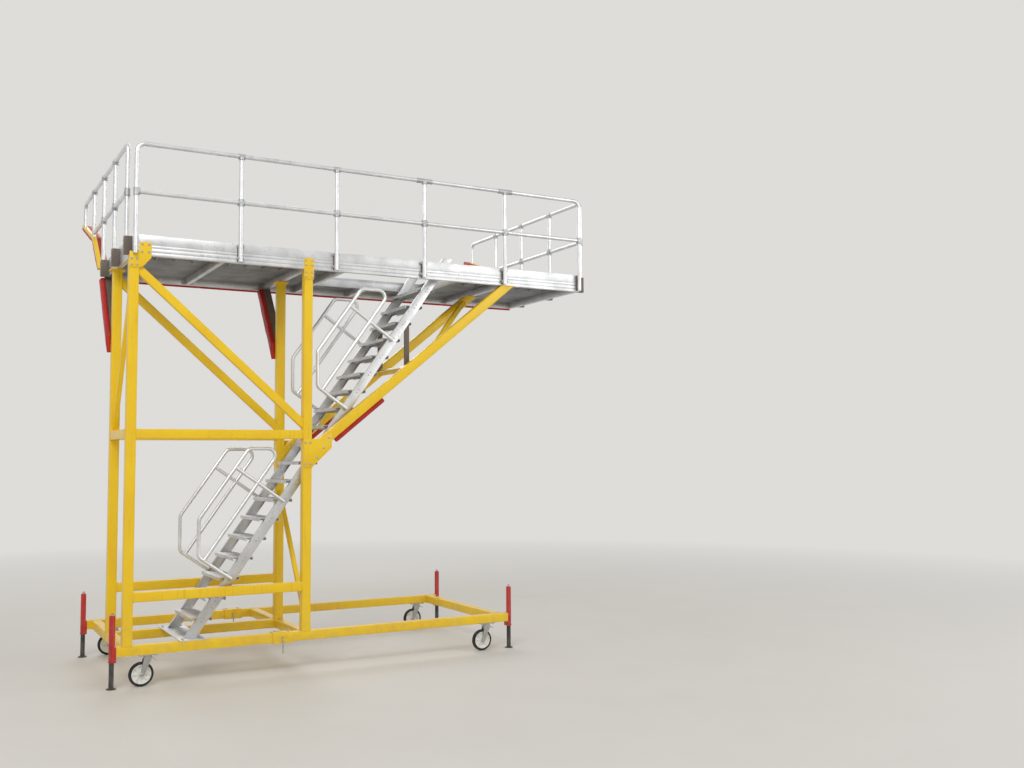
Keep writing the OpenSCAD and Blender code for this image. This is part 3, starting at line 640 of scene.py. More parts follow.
@dataclass(frozen=True)
class Enamel(Finish):
    """Sprayed enamel on steel: glossy, with chips, grime that runs down and dust low down."""

    colour: str
    faded: str
    grime: str = "8A6420"
    chip: str = "5B4A3A"
    roughness: float = 0.34
    dust: str = "948A7C"

    def build(self) -> bpy.types.Material:
        """Builds the enamel's material."""
        s = Surface(self.name, 0.0, self.roughness)
        faded = s.pattern(420, 4, (0.35, 0.7))
        runs = s.pattern(26, 4, (0.55, 0.8), (0.0, 0.3), (1, 1, 14),
                         within=s.pattern(700, 2, (0.45, 0.65)))
        height = s.add("SeparateXYZ", "Z", links={"Vector": s.where})
        low_down = s.add("MapRange", "Result", levels(0.1, 0.9, 0.3, 0.0), {"Value": height})
        dust = s.pattern(90, 5, (0.35, 0.7), within=low_down)
        chips = s.pattern(9, 6, (0.64, 0.66), finer=0.7, within=s.pattern(260, 3, (0.55, 0.7)))
        hollows = s.add("MapRange", "Result", levels(0.0, 1.0, 1.0, 0.0), {"Value": chips})
        s.shader.inputs["Coat Weight"].default_value = 0.25
        s.shader.inputs["Coat Roughness"].default_value = 0.12
        colour = s.layered(self.colour, (faded, self.faded), (runs, self.grime), (dust, self.dust),
                           (chips, self.chip))
        gloss = s.pattern(60, 5, (0.2, 0.8), (self.roughness - 0.08, self.roughness + 0.16))
        return s.finished(colour, gloss, (s.pattern(5, 2), 0.12), (hollows, 0.15))


@dataclass(frozen=True)
class BareMetal(Finish):
    """Bare metal: drawn lines along the piece, dull oxide patches and smudges."""

    colour: str
    oxide: str
    roughness: float = 0.38
    grain: Triple = (1, 1, 1)
    grain_mm: float = 1.6
    smudge: str = "857F76"

    def build(self) -> bpy.types.Material:
        """Builds the metal's material, whose lines are coarser than real ones so that they show."""
        s = Surface(self.name, 1.0, self.roughness)
        lines = s.pattern(self.grain_mm, 3, stretch=self.grain, finer=0.65)
        scratches = s.add("MapRange", "Result", levels(0.45, 0.75, 0.0, 0.5), {"Value": lines})
        dull = s.pattern(230, 4, (0.38, 0.68), (0.0, 0.8))
        smudges = s.pattern(34, 5, (0.56, 0.76), (0.0, 0.5), within=s.pattern(600, 2, (0.46, 0.62)))
        colour = s.layered(self.colour, (dull, self.oxide), (scratches, self.oxide),
                           (smudges, self.smudge))
        gloss = s.pattern(110, 4, (0.3, 0.7), (self.roughness - 0.06, self.roughness + 0.1))
        return s.finished(colour, gloss, (lines, 0.06))


@dataclass(frozen=True)
class ZincPlate(Finish):
    """Bright zinc plating: faint spangle, a warm and cool tint and dull handling marks."""

    colour: str = "C6C9CC"
    tint: str = "B9B08F"
    spangle: str = "8F959B"
    spangle_mm: float = 7.0

    def build(self) -> bpy.types.Material:
        """Builds the plating's material."""
        s = Surface(self.name, 1.0, 0.34)
        cells = s.add("TexVoronoi", "Distance", {"Scale": 1000 / self.spangle_mm}, {"Vector": s.where})
        edges = s.add("MapRange", "Result", levels(0.2, 0.7, 0.0, 0.35), {"Value": cells})
        gloss = s.add("MapRange", "Result", levels(0.0, 0.8, 0.26, 0.5), {"Value": cells})
        tinted = s.pattern(35, 3, (0.4, 0.7), (0.0, 0.6))
        colour = s.layered(self.colour, (tinted, self.tint), (edges, self.spangle))
        return s.finished(colour, gloss, (s.pattern(3, 3), 0.05))


@dataclass(frozen=True)
class Vinyl(Finish):
    """Coated fabric over foam: fine pebble grain, soft creases, scuffs that turn paler."""

    colour: str = "C21D17"
    scuffed: str = "CB4A40"
    shade: str = "A31813"
    pebble_mm: float = 3.2

    def build(self) -> bpy.types.Material:
        """Builds the fabric's material, whose pebbles are coarser than real ones so that they show."""
        s = Surface(self.name, 0.0, 0.46, 1.48)
        shaded = s.pattern(160, 4, (0.35, 0.7))
        scuffs = s.pattern(16, 5, (0.6, 0.72), (0.0, 0.5), (2, 1, 1),
                           within=s.pattern(210, 2, (0.48, 0.66)))
        creases = s.pattern(38, 3, stretch=(1, 1, 2))
        pebbles = s.add("TexVoronoi", "Distance", {"Scale": 1000 / self.pebble_mm},
                        {"Vector": s.where}, feature="SMOOTH_F1")
        return s.finished(s.layered(self.colour, (shaded, self.shade), (scuffs, self.scuffed)),
                          s.pattern(40, 4, (0.3, 0.7), (0.38, 0.58)), (creases, 0.9), (pebbles, 0.25))


@dataclass(frozen=True)
class Rubber(Finish):
    """Moulded rubber: dull, dusty, with a fine pitted skin."""

    colour: str = "1C1D20"
    dust: str = "5A544C"

    def build(self) -> bpy.types.Material:
        """Builds the rubber's material."""
        s = Surface(self.name, 0.0, 0.78, 1.52)
        dusty = s.pattern(24, 6, (0.48, 0.75), (0.0, 0.6))
        return s.finished(s.layered(self.colour, (dusty, self.dust)),
                          s.pattern(15, 4, (0.3, 0.7), (0.68, 0.9)), (s.pattern(2.5, 4), 0.15))


@dataclass(frozen=True)
class MouldedNylon(Finish):
    """Moulded nylon: off-white, waxy, grey with handling round the hub."""

    colour: str = "E8E7E2"
    grime: str = "8C8478"

    def build(self) -> bpy.types.Material:
        """Builds the nylon's material."""
        s = Surface(self.name, 0.0, 0.42, 1.53)
        handled = s.pattern(30, 6, (0.52, 0.8), (0.0, 0.75))
        return s.finished(s.layered(self.colour, (handled, self.grime)),
                          s.pattern(18, 3, (0.3, 0.7), (0.36, 0.55)), (s.pattern(4, 3), 0.06))


YELLOW = Enamel("yellow_enamel", "steel_yellow", "F6CE0A", "F0C20A")
# Painted shade: this grey-brown is the tone these braces, hangers, brackets and straps show in shade, given
# to them as their enamel colour; its grime, dust and chips are real wear
SHADE_BROWN_ENAMEL = Enamel("grey_brown_painted_shade", "steel_grey", "6E6257", "5C5148", "3C342C", "8A7F74", 0.5)
RED_PAINT = Enamel("red_enamel", "paint_red", "C4160F", "AE130D", "4A0D0A")
BLACK_PAINT = Enamel("black_enamel", "steel_black", "17171A", "1E1D1F", "3A3733", "6A655F", 0.42)
ALLOY_X = BareMetal("mill_aluminium_along_deck", "alloy", "E2E3E4", "C6C7C9", 0.42, (60, 1, 1))
ALLOY_PLANK = BareMetal("walked_aluminium_plank", "alloy", "D3D4D6", "B0B1B4", 0.54, (60, 1, 1))
ALLOY_Y = BareMetal("mill_aluminium_across_deck", "alloy", "DCDDDE", "BDBEC0", 0.44, (1, 60, 1))
ALLOY_TUBE = BareMetal("drawn_aluminium_tube", "alloy", "ECEDEE", "D4D5D7", 0.36, (8, 8, 8), 3.0)
ALLOY_STAIR = BareMetal("extruded_aluminium_stair", "alloy", "E0E1E2", "C2C3C5", 0.42, (10, 10, 10), 2.4)
CAST_ALLOY = BareMetal("cast_aluminium_fitting", "zinc", "CFD0D2", "ADAFB1", 0.5, (1, 1, 1), 2.2)
GALVANISED = ZincPlate("zinc_plate", "zinc")
RED_VINYL = Vinyl("red_vinyl", "pad_red")
TYRE_RUBBER = Rubber("grey_black_rubber", "tyre_dark")
WHEEL_NYLON = MouldedNylon("white_nylon", "rim_white")


# Dressing

def fitted(piece: Piece, finish: Finish, body: str = "frame", nodes: Sequence[str] = ()) -> Piece:
    """Gives a piece its finish and its place on a body.

    Args:
        piece: The finished mesh.
        finish: Its finish.
        body: The body that it rides on.
        nodes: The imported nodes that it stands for.

    Returns:
        The piece.
    """
    piece.data.materials.clear()
    piece.data.materials.append(finish.made())
    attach(piece, body)
    if nodes:
        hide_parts(*nodes)
    LOG.info("%s: %d faces", piece.name, len(piece.data.polygons))
    return piece


def dressed(node: str, finish: Finish) -> None:
    """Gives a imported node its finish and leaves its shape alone.

    Args:
        node: The node's name.
        finish: Its finish.
    """
    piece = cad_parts[node]
    if not piece.material_slots:
        piece.data.materials.append(None)
    for slot in piece.material_slots:
        slot.material = finish.made()
    LOG.info("%s: dressed", node)


def softened(node: str, name: str, radius: float, finish: Finish, edges: Edges = Edges.ALL,
             segments: int = 2, body: str = "frame") -> None:
    """Copies a node, with its edges rounded as rolled tube, cut plate or a casting has them.

    Args:
        node: The node's name.
        name: The copy's name.
        radius: Radius of the edges in millimetres.
        finish: The copy's finish.
        edges: Which edges are rounded.
        segments: Number of faces across each rounded edge.
        body: The body that it rides on.
    """
    twin = node_copy(node, name)
    wanted = sharp_edges(twin.data)
    open_mesh(twin, edges=lambda edge: edge.index in wanted and (edges is Edges.ALL or wanted[edge.index]))
    bpy.ops.mesh.bevel(offset=radius * MM, segments=segments, affect="EDGES", clamp_overlap=True)
    close_mesh()
    fitted(smooth(twin), finish, body, [node])


def welded(node: str, name: str, radius: float, finish: Finish) -> None:
    """Lays a weld bead round both ends of each bar of a node.

    Args:
        node: The node's name.
        name: The beads' name.
        radius: Radius of the bead in millimetres.
        finish: The paint over the beads.
    """
    twin = node_copy(node, name)
    wanted = sharp_edges(twin.data)
    open_mesh(twin, edges=lambda edge: wanted.get(edge.index, True))
    bpy.ops.mesh.delete(type="EDGE_FACE")
    bpy.ops.mesh.select_all(action="SELECT")
    bpy.ops.mesh.delete(type="ONLY_FACE")
    bpy.ops.mesh.select_all(action="SELECT")
    bpy.ops.mesh.subdivide(number_cuts=2)
    close_mesh()
    beads = smooth(swept(twin, radius, 1), 60)
    beads.name = name
    fitted(beads, finish)


def looked_at(tree: bpy.types.NodeTree) -> Socket:
    """Tells camera, mirror and glass rays from the rays that carry light.

    Args:
        tree: The node tree.

    Returns:
        A socket that is 1 for a ray that looks and 0 for one that lights.
    """
    path = add_node(tree, "LightPath")
    seen = path.outputs["Is Camera Ray"]
    for ray in ("Is Glossy Ray", "Is Transmission Ray"):
        seen = add_node(tree, "Math", links={0: seen, 1: path.outputs[ray]},
                        operation="MAXIMUM").outputs[0]
    return seen


# Sub-assemblies

@dataclass
class Studio:
    """The floor, the soft light and the camera at the photograph's angle."""

    lens: float = 37.447
    camera_place: Triple = (-1979.0, -11548.0, 2332.0)
    camera_turn: Triple = (93.886, 0.317, -29.416)
    floor_size: float = 160.0
    pale: str = "E6E5E2"
    glow: float = 0.92
    ambient: float = 0.7
    fade: Pair = (5.0, 17.0)
    aim: Triple = (0.0, 0.0, 2.6)
    lamps: tuple[tuple[str, Triple, float, float], ...] = (
        ("key", (-7.5, -11.0, 12.0), 7.0, 780), ("fill", (9.0, -10.0, 7.0), 8.0, 300),
        ("back", (2.0, 9.5, 10.0), 8.0, 340))

    def build(self) -> None:
        """Builds the floor, lights, world and camera."""
        self.lay_floor()
        self.light_world()
        self.hang_lamps()
        self.place_camera()

    def lay_floor(self) -> None:
        """Lays the floor, which far off blends into the backdrop for what looks at it."""
        bpy.ops.object.select_all(action="DESELECT")
        bpy.ops.mesh.primitive_plane_add(size=self.floor_size)
        floor = bpy.context.object
        floor.name = "studio_floor"
        s = Surface("pale_floor", 0.0, 0.6)
        patches = s.pattern(900, 3, (0.3, 0.7), (0.0, 0.3))
        floor.data.materials.append(s.finished(s.layered("D8D5D0", (patches, "CFCCC6"))))
        reach = s.add("VectorMath", "Value", links={0: s.where}, operation="LENGTH")
        far = s.add("MapRange", "Result", levels(*self.fade), {"Value": reach})
        share = s.add("Math", 0, links={0: far, 1: looked_at(s.tree)}, operation="MULTIPLY")
        glow = s.add("Emission", "Emission", {"Color": linear(self.pale), "Strength": self.glow})
        blend = s.add("MixShader", "Shader", links={0: share, 1: s.shader.outputs["BSDF"], 2: glow})
        s.tree.links.new(blend, s.tree.nodes["Material Output"].inputs["Surface"])

    def light_world(self) -> None:
        """Lights the world softly and keeps it pale for the camera and in reflections."""
        world = bpy.data.worlds.new("studio")
        world.use_nodes = True
        bpy.context.scene.world = world
        tree = world.node_tree
        strength = add_node(tree, "MapRange", {"To Min": self.ambient, "To Max": self.glow},
                            {"Value": looked_at(tree)})
        back = tree.nodes["Background"]
        back.inputs["Color"].default_value = linear(self.pale)
        tree.links.new(strength.outputs["Result"], back.inputs["Strength"])

    def hang_lamps(self) -> None:
        """Hangs a large key, a fill and a back light."""
        for name, place, size, power in self.lamps:
            bpy.ops.object.light_add(type="AREA", location=place)
            lamp = bpy.context.object
            lamp.name = f"lamp_{name}"
            lamp.data.shape, lamp.data.size, lamp.data.energy = "DISK", size, power
            way = Vector(self.aim) - Vector(place)
            lamp.rotation_euler = way.to_track_quat("-Z", "Y").to_euler()

    def place_camera(self) -> None:
        """Places the camera."""
        bpy.ops.object.camera_add(location=at(*self.camera_place))
        camera = bpy.context.object
        camera.rotation_euler = [math.radians(a) for a in self.camera_turn]
        camera.data.lens, camera.data.sensor_width, camera.data.clip_end = self.lens, 36.0, 300.0
        bpy.context.scene.camera = camera


@dataclass
class WeldedFrame:
    """The yellow welded tubes of base, tower and cantilever, with their welds, plates and bolts."""

    corner: float = 8.0
    bead: float = 4.5
    plate_edge: float = 1.8
    welded: tuple[str, ...] = (
        "base_middle_beam", "base_cross_beams", "front_columns", "rear_columns", "tower_rails",
        "tower_diagonals", "end_braces", "arms", "arm_ties")
    plain: tuple[str, ...] = ("base_beams", "base_extensions")
    plates: tuple[str, ...] = ("arm_gussets", "column_head_plates", "splice_sleeves")
    front_face: float = -58.0
    rear_face: float = 1063.0
    gusset_bolts: Outline = ((1856, 2260), (1916, 2260), (1856, 2500), (1916, 2500), (2070, 2440),
                             (2130, 2555), (1990, 2330))

    def build(self) -> None:
        """Builds the tubes, plates and welds."""
        for node in self.welded + self.plain:
            softened(node, f"{node}_tube", self.corner, YELLOW, Edges.LONG, 3)
        for node in self.welded:
            welded(node, f"{node}_welds", self.bead, YELLOW)
        for node in self.plates:
            softened(node, f"{node}_plate", self.plate_edge, YELLOW)
        self.bolt_heads()

    def bolt_heads(self) -> None:
        """Bolts the column heads' plates, the gussets and the sleeves."""
        second = COLUMNS_X[1]
        heads = (*product((-28, 28), (4350, 4415)), *product((75, 145), (4490, 4570)),
                 *product((second - 38, second + 38), (4368, 4420, 4500, 4552)))
        places = [seat(x, self.front_face, z, X, -Y) for x, z in (*heads, *self.gusset_bolts)]
        places += [seat(x, self.rear_face, z, X, Y) for x, z in self.gusset_bolts]
        fitted(copies(hex_bolt(19, 8), places, "plate_bolts"), GALVANISED)
        sleeves = [seat(x, y + dy, PLATES_TOP) for y, dy, x in product(BEAMS_Y, (-28, 28), (1545, 1690))]
        fitted(copies(hex_bolt(16, 8), sleeves, "sleeve_bolts"), GALVANISED)


@dataclass
class LockPins:
    """Bent locking pins of the base beams' sleeves, with their handles hanging in front."""

    middle_x: float = 1617.5
    height: float = 374.0
    reach: float = 75.0
    drop: float = 175.0
    radius: float = 7.8
    bend: float = 14.0
    collar_y: float = 68.0
    collar: Outline = ((7.9, -5), (13, -5), (14, -3.5), (14, 3.5), (13, 5), (7.9, 5))

    def build(self) -> None:
        """Bends both pins and turns their collars."""
        low = self.height - self.drop + self.radius
        pins = [copies(turned(self.collar), [seat(self.middle_x, y + self.collar_y, self.height, X, Y)
                                             for y in BEAMS_Y], "collars")]
        for y in BEAMS_Y:
            path = [at(self.middle_x, y + self.reach, self.height),
                    at(self.middle_x, y - self.reach, self.height),
                    at(self.middle_x, y - self.reach, low)]
            pins.append(tube(rounded(path, self.bend), self.radius))
        fitted(smooth(joined(pins, "lock_pins")), GALVANISED, nodes=["splice_pins"])


@dataclass
class Deck:
    """Aluminium edge beams, joists, ribbed planks, toe boards and their fastenings."""

    joists: tuple[float, ...] = (930, 1886, 2305, 3030, 3745, 4460)
    well: Pair = (2305, 3745)
    short_joist: float = 3030
    ends: Pair = (18.0, 5490.0)
    depth: float = 1730.0
    planks: int = 9
    rivet_pitch: float = 550.0
    tie_pitch: int = 200
    tie_rows: Pair = (480, 488)
    tie_z: float = 4535.0
    open_span: Pair = (2240, 3810)
    cleat: Outline = ((0, 0), (46, 0), (46, 5), (9, 5), (5, 9), (5, 46), (0, 46))

    def build(self) -> None:
        """Builds the deck's parts."""
        softened("deck_edge_beams", "deck_edge_profiles", 2.2, ALLOY_X)
        softened("deck_joists", "deck_joist_profiles", 3, ALLOY_Y)
        dressed("deck_planks", ALLOY_PLANK)
        softened("toe_boards", "toe_board_profiles", 1.2, ALLOY_X)
        self.cleats()
        self.screws()
        self.plank_ties()

    def cleats(self) -> None:
        """Bolts an angle cleat at each end of each joist, but none inside the stairwell."""
        bolts = copies(hex_bolt(13, 6), [facing(Vector((0.005, 0.028, 0.018)), Z, X),
                                         facing(Vector((0.028, 0.005, 0.042)), Z, Y)], "bolts")
        cleat = joined([drawn_bar(self.cleat, Matrix(), 60), bolts], "cleat")
        inside = ((self.well[0], 1), (self.well[1], -1))
        places = []
        for x, side, (y, way) in product(self.joists, (-1, 1), ((self.depth, -1), (0.0, 1))):
            if (x, side) not in inside and (x, way) != (self.short_joist, 1):
                spot = at(x + side * 25.2, y + way * 0.3, DECK_UNDER + 8)
                places.append(Matrix.Translation(spot) @ Matrix.Diagonal((side, way, 1, 1)))
        fitted(copies(cleat, places, "joist_cleats"), CAST_ALLOY)

    def screws(self) -> None:
        """Screws the planks to the joists and rivets the toe boards to the edge beams."""
        rows = [x for x in (*self.ends, *self.joists) if x != self.short_joist]
        middles = [self.depth / self.planks * (k + 0.5) for k in range(self.planks)]
        places = [seat(x, y + dy, DECK_TOP - 2.2) for y, x, dy in product(middles, rows, (-36, 36))]
        fitted(copies(pan_screw(9), places, "plank_screws"), GALVANISED)
        spots = [self.rivet_pitch * (k + 0.5) for k in range(10)]
        rivets = [seat(x, -50, DECK_TOP + 48, X, -Y) for x in spots]
        rivets += [seat(x + dx, -38, DECK_TOP + 4) for x, dx in product(spots, (-90, 90))]
        fitted(copies(pan_screw(10), rivets, "toe_board_rivets"), GALVANISED)

    def plank_ties(self) -> None:
        """Rivets a short strap under each joint of the second to fourth planks, every 200 mm."""
        rivets = copies(pan_screw(16), [Matrix.Translation((0, s * 0.085, 0.005)) for s in (-1, 1)],
                        "rivets")
        tie = joined([drawn_bar(rounded_rectangle(24, 205, 8), Matrix(), 5), rivets], "tie")
        clear = [x for x in range(130, 5440, self.tie_pitch)
                 if not self.open_span[0] <= x <= self.open_span[1]
                 and all(abs(x - joist) > 45 for joist in self.joists)]
        places = [seat(x, self.tie_rows[k % 2], self.tie_z, X, -Z) for k, x in enumerate(clear)]
        # The straps take the grey-brown painted shade
        fitted(copies(tie, places, "plank_ties"), SHADE_BROWN_ENAMEL)


@dataclass
class Guardrails:
    """Aluminium guardrails: bent tubes, cast fittings, brackets, sockets and their bolts."""

    radius: float = 24.0
    front_y: float = -84.0
    ends_x: Pair = (-75.0, 5575.0)
    top: float = 5630.0
    middle: float = 5115.0
    pitch: float = 1100.0
    end_pitch: float = 770.0
    foot: float = 4465.0
    end_foot: float = 4590.0
    crown_half: float = 35.0
    couplings: tuple[int, int] = (3, 4)

    def build(self) -> None:
        """Builds the guardrails."""
        self.tubes()
        self.fittings()
        self.brackets()

    def crown_top(self, y: float) -> float:
        """Height of the crown bar's upper face at a distance from the front columns."""
        slope = (CROWN[2].y - CROWN[1].y) / (CROWN[2].x - CROWN[1].x)
        return CROWN[1].y + (y - CROWN[1].x) * slope + self.crown_half / math.cos(math.atan(slope))

    def side(self, where: Callable[[float, float], Vector], pitch: float, feet: Sequence[float],
             bend: float, reach: int) -> list[Piece]:
        """Bends the outer loop of one side and cuts its posts and its middle rail.

        Args:
            where: Gives the place at a distance along the side and a height.
            pitch: Distance between posts.
            feet: Heights of the posts' lower ends, the loop's two included.
            bend: Bend radius of the loop.
            reach: Number of the post at which the middle rail ends.

        Returns:
            The tubes.
        """
        end = pitch * (len(feet) - 1)
        loop = [where(0, feet[0]), where(0, self.top), where(end, self.top), where(end, feet[-1])]
        lines = [rounded(loop, bend, 10), [where(0, self.middle), where(reach * pitch, self.middle)]]
        lines += [[where(k * pitch, foot), where(k * pitch, self.top)]
                  for k, foot in enumerate(feet[1:-1], 1)]
        return [tube(line, self.radius) for line in lines]

    def tubes(self) -> None:
        """Bends and cuts the tubes of the front and of both ends."""
        front = self.side(lambda s, z: at(s, self.front_y, z), self.pitch, [self.foot] * 6, 90.0, 5)
        fitted(smooth(joined(front, "front_guardrail_tubes")), ALLOY_TUBE,
               nodes=["rail_posts", "rail_tubes", "rail_bends"])
        feet = [self.end_foot] * 3 + [self.crown_top(k * self.end_pitch) - 12 for k in (3, 4)]
        ends = []
        for x in self.ends_x:
            ends += self.side(lambda s, z: at(x, s, z), self.end_pitch, feet, 70.0, 3)
        fitted(smooth(joined(ends, "end_guardrail_tubes")), ALLOY_TUBE)

    @staticmethod
    def sleeve(reach: float, whole: bool = True) -> Piece:
        """Turns a cast sleeve along Z.

        Args:
            reach: Height of its upper end in millimetres.
            whole: Whether its lower half is the same, or it starts at the origin.

        Returns:
            The sleeve, with a collar at each free end.
        """
        end = [(29, reach - 10.5), (31, reach - 8), (31, reach - 1.5), (30, reach), (24.2, reach)]
        start = [(r, -h) for r, h in reversed(end)] if whole else [(24.2, 0), (29, 0)]
        return turned(start + end, 28)

    def fittings(self) -> None:
        """Casts the tee and cross fittings and sets their screws."""
        places: dict[str, list[Matrix]] = {"short": [], "long": [], "half": [], "screw": []}

        def fitting(x: float, y: float, z: float, along: Vector, leaves: int = 0,
                    sleeve: str = "short") -> None:
            """Adds the places of one fitting: a tee on the top rail, a cross on the middle one.

            Args:
                x: Place along the deck.
                y: Place across it.
                z: Height.
                along: The rail's direction.
                leaves: 0 where the rail runs through, else the one way it leaves, 1 or -1.
                sleeve: Which sleeve is on a rail that runs through.
            """
            spot, runs_on = at(x, y, z), z < self.top
            way = along * (leaves or 1)
            places["half" if leaves else sleeve].append(facing(spot, Z, way))
            places["short" if runs_on else "half"].append(facing(spot, along, Z if runs_on else -Z))
            inward = Y if along.x else X * (1 if x < 1000 else -1)
            slant = (inward - Z * 0.6).normalized()
            places["screw"] += [facing(spot + slant * 0.0285 + way * 0.031, along, slant),
                                facing(spot + inward * 0.0285 - Z * 0.031, Z, inward)]

        for k in range(1, 5):
            fitting(k * self.pitch, self.front_y, self.top, X,
                    sleeve="long" if k in self.couplings else "short")
        for k in range(6):
            fitting(k * self.pitch, self.front_y, self.middle, X, {0: 1, 5: -1}.get(k, 0))
        for x, k in product(self.ends_x, range(3)):
            fitting(x, (k + 1) * self.end_pitch, self.top, Y)
            fitting(x, k * self.end_pitch, self.middle, Y, 0 if k else 1)
        cast = [copies(self.sleeve(40), places["short"], "short"),
                copies(self.sleeve(95), places["long"], "long"),
                copies(self.sleeve(40, False), places["half"], "half")]
        fitted(smooth(joined(cast, "rail_fittings_cast")), CAST_ALLOY, nodes=["rail_fittings"])
        grub = turned([(0, 1.2), (2.4, 1.2), (2.4, 3.4), (5.2, 3.4), (6, 2.4), (6, 0), (0, 0)], 12)
        fitted(copies(grub, places["screw"], "rail_fitting_screws"), GALVANISED)

    def brackets(self) -> None:
        """Shapes the brackets behind the front posts and the sockets of the end posts."""
        # The brackets take the grey-brown painted shade
        softened("rail_brackets", "rail_bracket_blocks", 3, SHADE_BROWN_ENAMEL)
        outline = [(24.4, 0), *(polar(29, 12 * k) for k in range(16)),
                   (-24.4, 0), *(polar(24.4, 180 - 12 * k) for k in range(1, 15))]
        parts = [drawn_bar(outline, Matrix(), 30),
                 copies(hex_bolt(10, 5), [facing(Vector((s * 0.0355, 0.0053, 0.015)), X, Y)
                                          for s in (-1, 1)], "bolts")]
        parts += [drawn_bar(rounded_rectangle(15, 5, 1), Matrix.Translation((s * 0.0345, 0.0028, 0)), 30)
                  for s in (-1, 1)]
        # The saddles face the front, so their own Y turns to -Y and their rim lies at the tube
        turn = Matrix.Rotation(math.pi, 4, "Z") @ Matrix.Scale(0.995, 4)
        places = [seat(k * self.pitch, self.front_y + 14, z) @ turn
                  for k, z in product(range(1, 5), (4490.0, 4625.0))]
        fitted(smooth(copies(joined(parts, "saddle"), places, "post_saddles")), CAST_ALLOY)
        pinch = [seat(x + way * 28, k * self.end_pitch, z, Y, X * way)
                 for (x, way), k, z in product(zip(self.ends_x, (-1, 1)), range(3), (4510.0, 4600.0))]
        fitted(copies(hex_bolt(15, 7), pinch, "socket_bolts"), GALVANISED)


@dataclass
class Padding:
    """Foam pads in red vinyl covers, swollen by cloth pressure between their piped seams."""

    voxel: float = 7.0
    pressure: float = 4.0
    cap: float = 6.0
    shrink: float = 4.0
    steps: int = 20
    fill: float = 0.85
    seam: float = 5.0
    cord: float = 2.2
    thick: float = 60.0
    arm: tuple[Pair, Pair] = ((1936, 2400), (4460, DECK_UNDER))
    arm_rows: Pair = (0.0, 1005.0)
    arm_face: float = 55.3
    arm_pad: Pair = (300, 1060)
    knee: tuple[Pair, Pair] = ((1055, 3665), (1630, DECK_UNDER))
    knee_face: float = 35.3
    knee_left: float = -95.0
    knee_seams: Pair = (330, 640)
    bumper_start: Triple = (-20.0, 1780.3, 4450.0)
    bumper_length: float = 1108.0
    bumper_low: float = -12.0
    bumper_top: float = 110.0
    crown_face: float = -35.0
    crown_ground: float = 4565.3
    crown_seams: Outline = ((0, 260), (0, 520), (1, 200), (1, 480), (1, 760))
    crown_middle: float = 2750.0

    def build(self) -> None:
        """Builds each set of pads and the padded braces and bars."""
        self.arm_pads()
        self.knee_pads()
        # The braces and their welds take the grey-brown painted shade
        softened("knee_braces", "knee_brace_bars", 6, SHADE_BROWN_ENAMEL, Edges.LONG, 3)
        welded("knee_braces", "knee_brace_welds", 4, SHADE_BROWN_ENAMEL)
        self.bumper()
        self.crown_pads()
        softened("crown_bars", "crown_arm_bars", 5, YELLOW, Edges.LONG)

    def swell(self, pad: Piece, held: Callable[[Vector], bool]) -> None:
        """Remeshes a pad and swells it.

        Args:
            pad: The pad's slightly smaller start shape.
            held: Says whether a point rests on steel or lies in a seam and stays put.
        """
        only(pad)
        remesh = pad.modifiers.new("remesh", "REMESH")
        remesh.mode, remesh.voxel_size = "VOXEL", self.voxel * MM
        bpy.ops.object.modifier_apply(modifier=remesh.name)
        self.blow_up(pad, held)
        only(pad)
        fine = pad.modifiers.new("fine", "SUBSURF")
        fine.levels = fine.render_levels = 1
        bpy.ops.object.modifier_apply(modifier=fine.name)
        bpy.ops.object.shade_smooth()

    def blow_up(self, pad: Piece, held: Callable[[Vector], bool]) -> None:
        """Runs the cloth and keeps its shape within the cap.

        Args:
            pad: The remeshed pad.
            held: Says whether a point stays put.
        """
        start = [vertex.co.copy() for vertex in pad.data.vertices]
        group = pad.vertex_groups.new(name="held")
        group.add([i for i, co in enumerate(start) if held(co)], 1.0, "REPLACE")
        cloth = pad.modifiers.new("cloth", "CLOTH")
        cloth.settings.quality = 4
        cloth.settings.use_pressure = True
        cloth.settings.uniform_pressure_force = self.pressure
        cloth.settings.vertex_group_mass = group.name
        cloth.settings.effector_weights.gravity = 0.0
        cloth.point_cache.frame_start, cloth.point_cache.frame_end = 1, self.steps
        for step in range(1, self.steps + 1):
            bpy.context.scene.frame_set(step)
        shape = pad.evaluated_get(bpy.context.evaluated_depsgraph_get()).data
        ends = [vertex.co.copy() for vertex in shape.vertices]
        pad.modifiers.remove(cloth)
        for vertex, low, high in zip(pad.data.vertices, start, ends):
            move = high - low
            if move.length > self.cap * MM:
                move = move.normalized() * self.cap * MM
            vertex.co = low + move
        pad.vertex_groups.clear()
        bpy.context.scene.frame_set(1)

    def piping(self, pad: Piece, point: Vector, way: Vector) -> Piece:
        """Sews piping round a pad where a plane cuts it.

        Args:
            pad: The swollen pad.
            point: A point of the plane.
            way: The plane's normal.

        Returns:
            The piping.
        """
        twin = bpy.data.objects.new("ring", pad.data.copy())
        bpy.context.scene.collection.objects.link(twin)
        open_mesh(twin)
        bpy.ops.mesh.bisect(plane_co=point, plane_no=way, clear_inner=True, clear_outer=True)
        close_mesh()
        return swept(twin, self.cord, 2)

    def sewn(self, node: str, slabs: Sequence[Piece], rests: Callable[[Vector], bool],
             seams: Sequence[Seam], moves: Sequence[Matrix] = (Matrix(),)) -> None:
        """Swells a node's pads, pipes their seams and puts both in their places.

        Args:
            node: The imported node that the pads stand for.
            slabs: The pads' slightly smaller start shapes.
            rests: Says whether a point rests on what carries the pad and stays put.
            seams: A point and a normal for each seam, which stays put too.
            moves: Where the pads are copied to.
        """
        pad = joined(slabs, "pad")
        self.swell(pad, lambda co: rests(co) or any(
            abs((co - point).dot(way)) < self.seam * MM for point, way in seams))
        trim = smooth(joined([self.piping(pad, *seam) for seam in seams], "piping"), 60)
        cover = fitted(copies(pad, moves, f"{node}_padded"), RED_VINYL, nodes=[node])
        fitted(copies(trim, moves, f"{node.removesuffix('s')}_piping"), RED_VINYL)

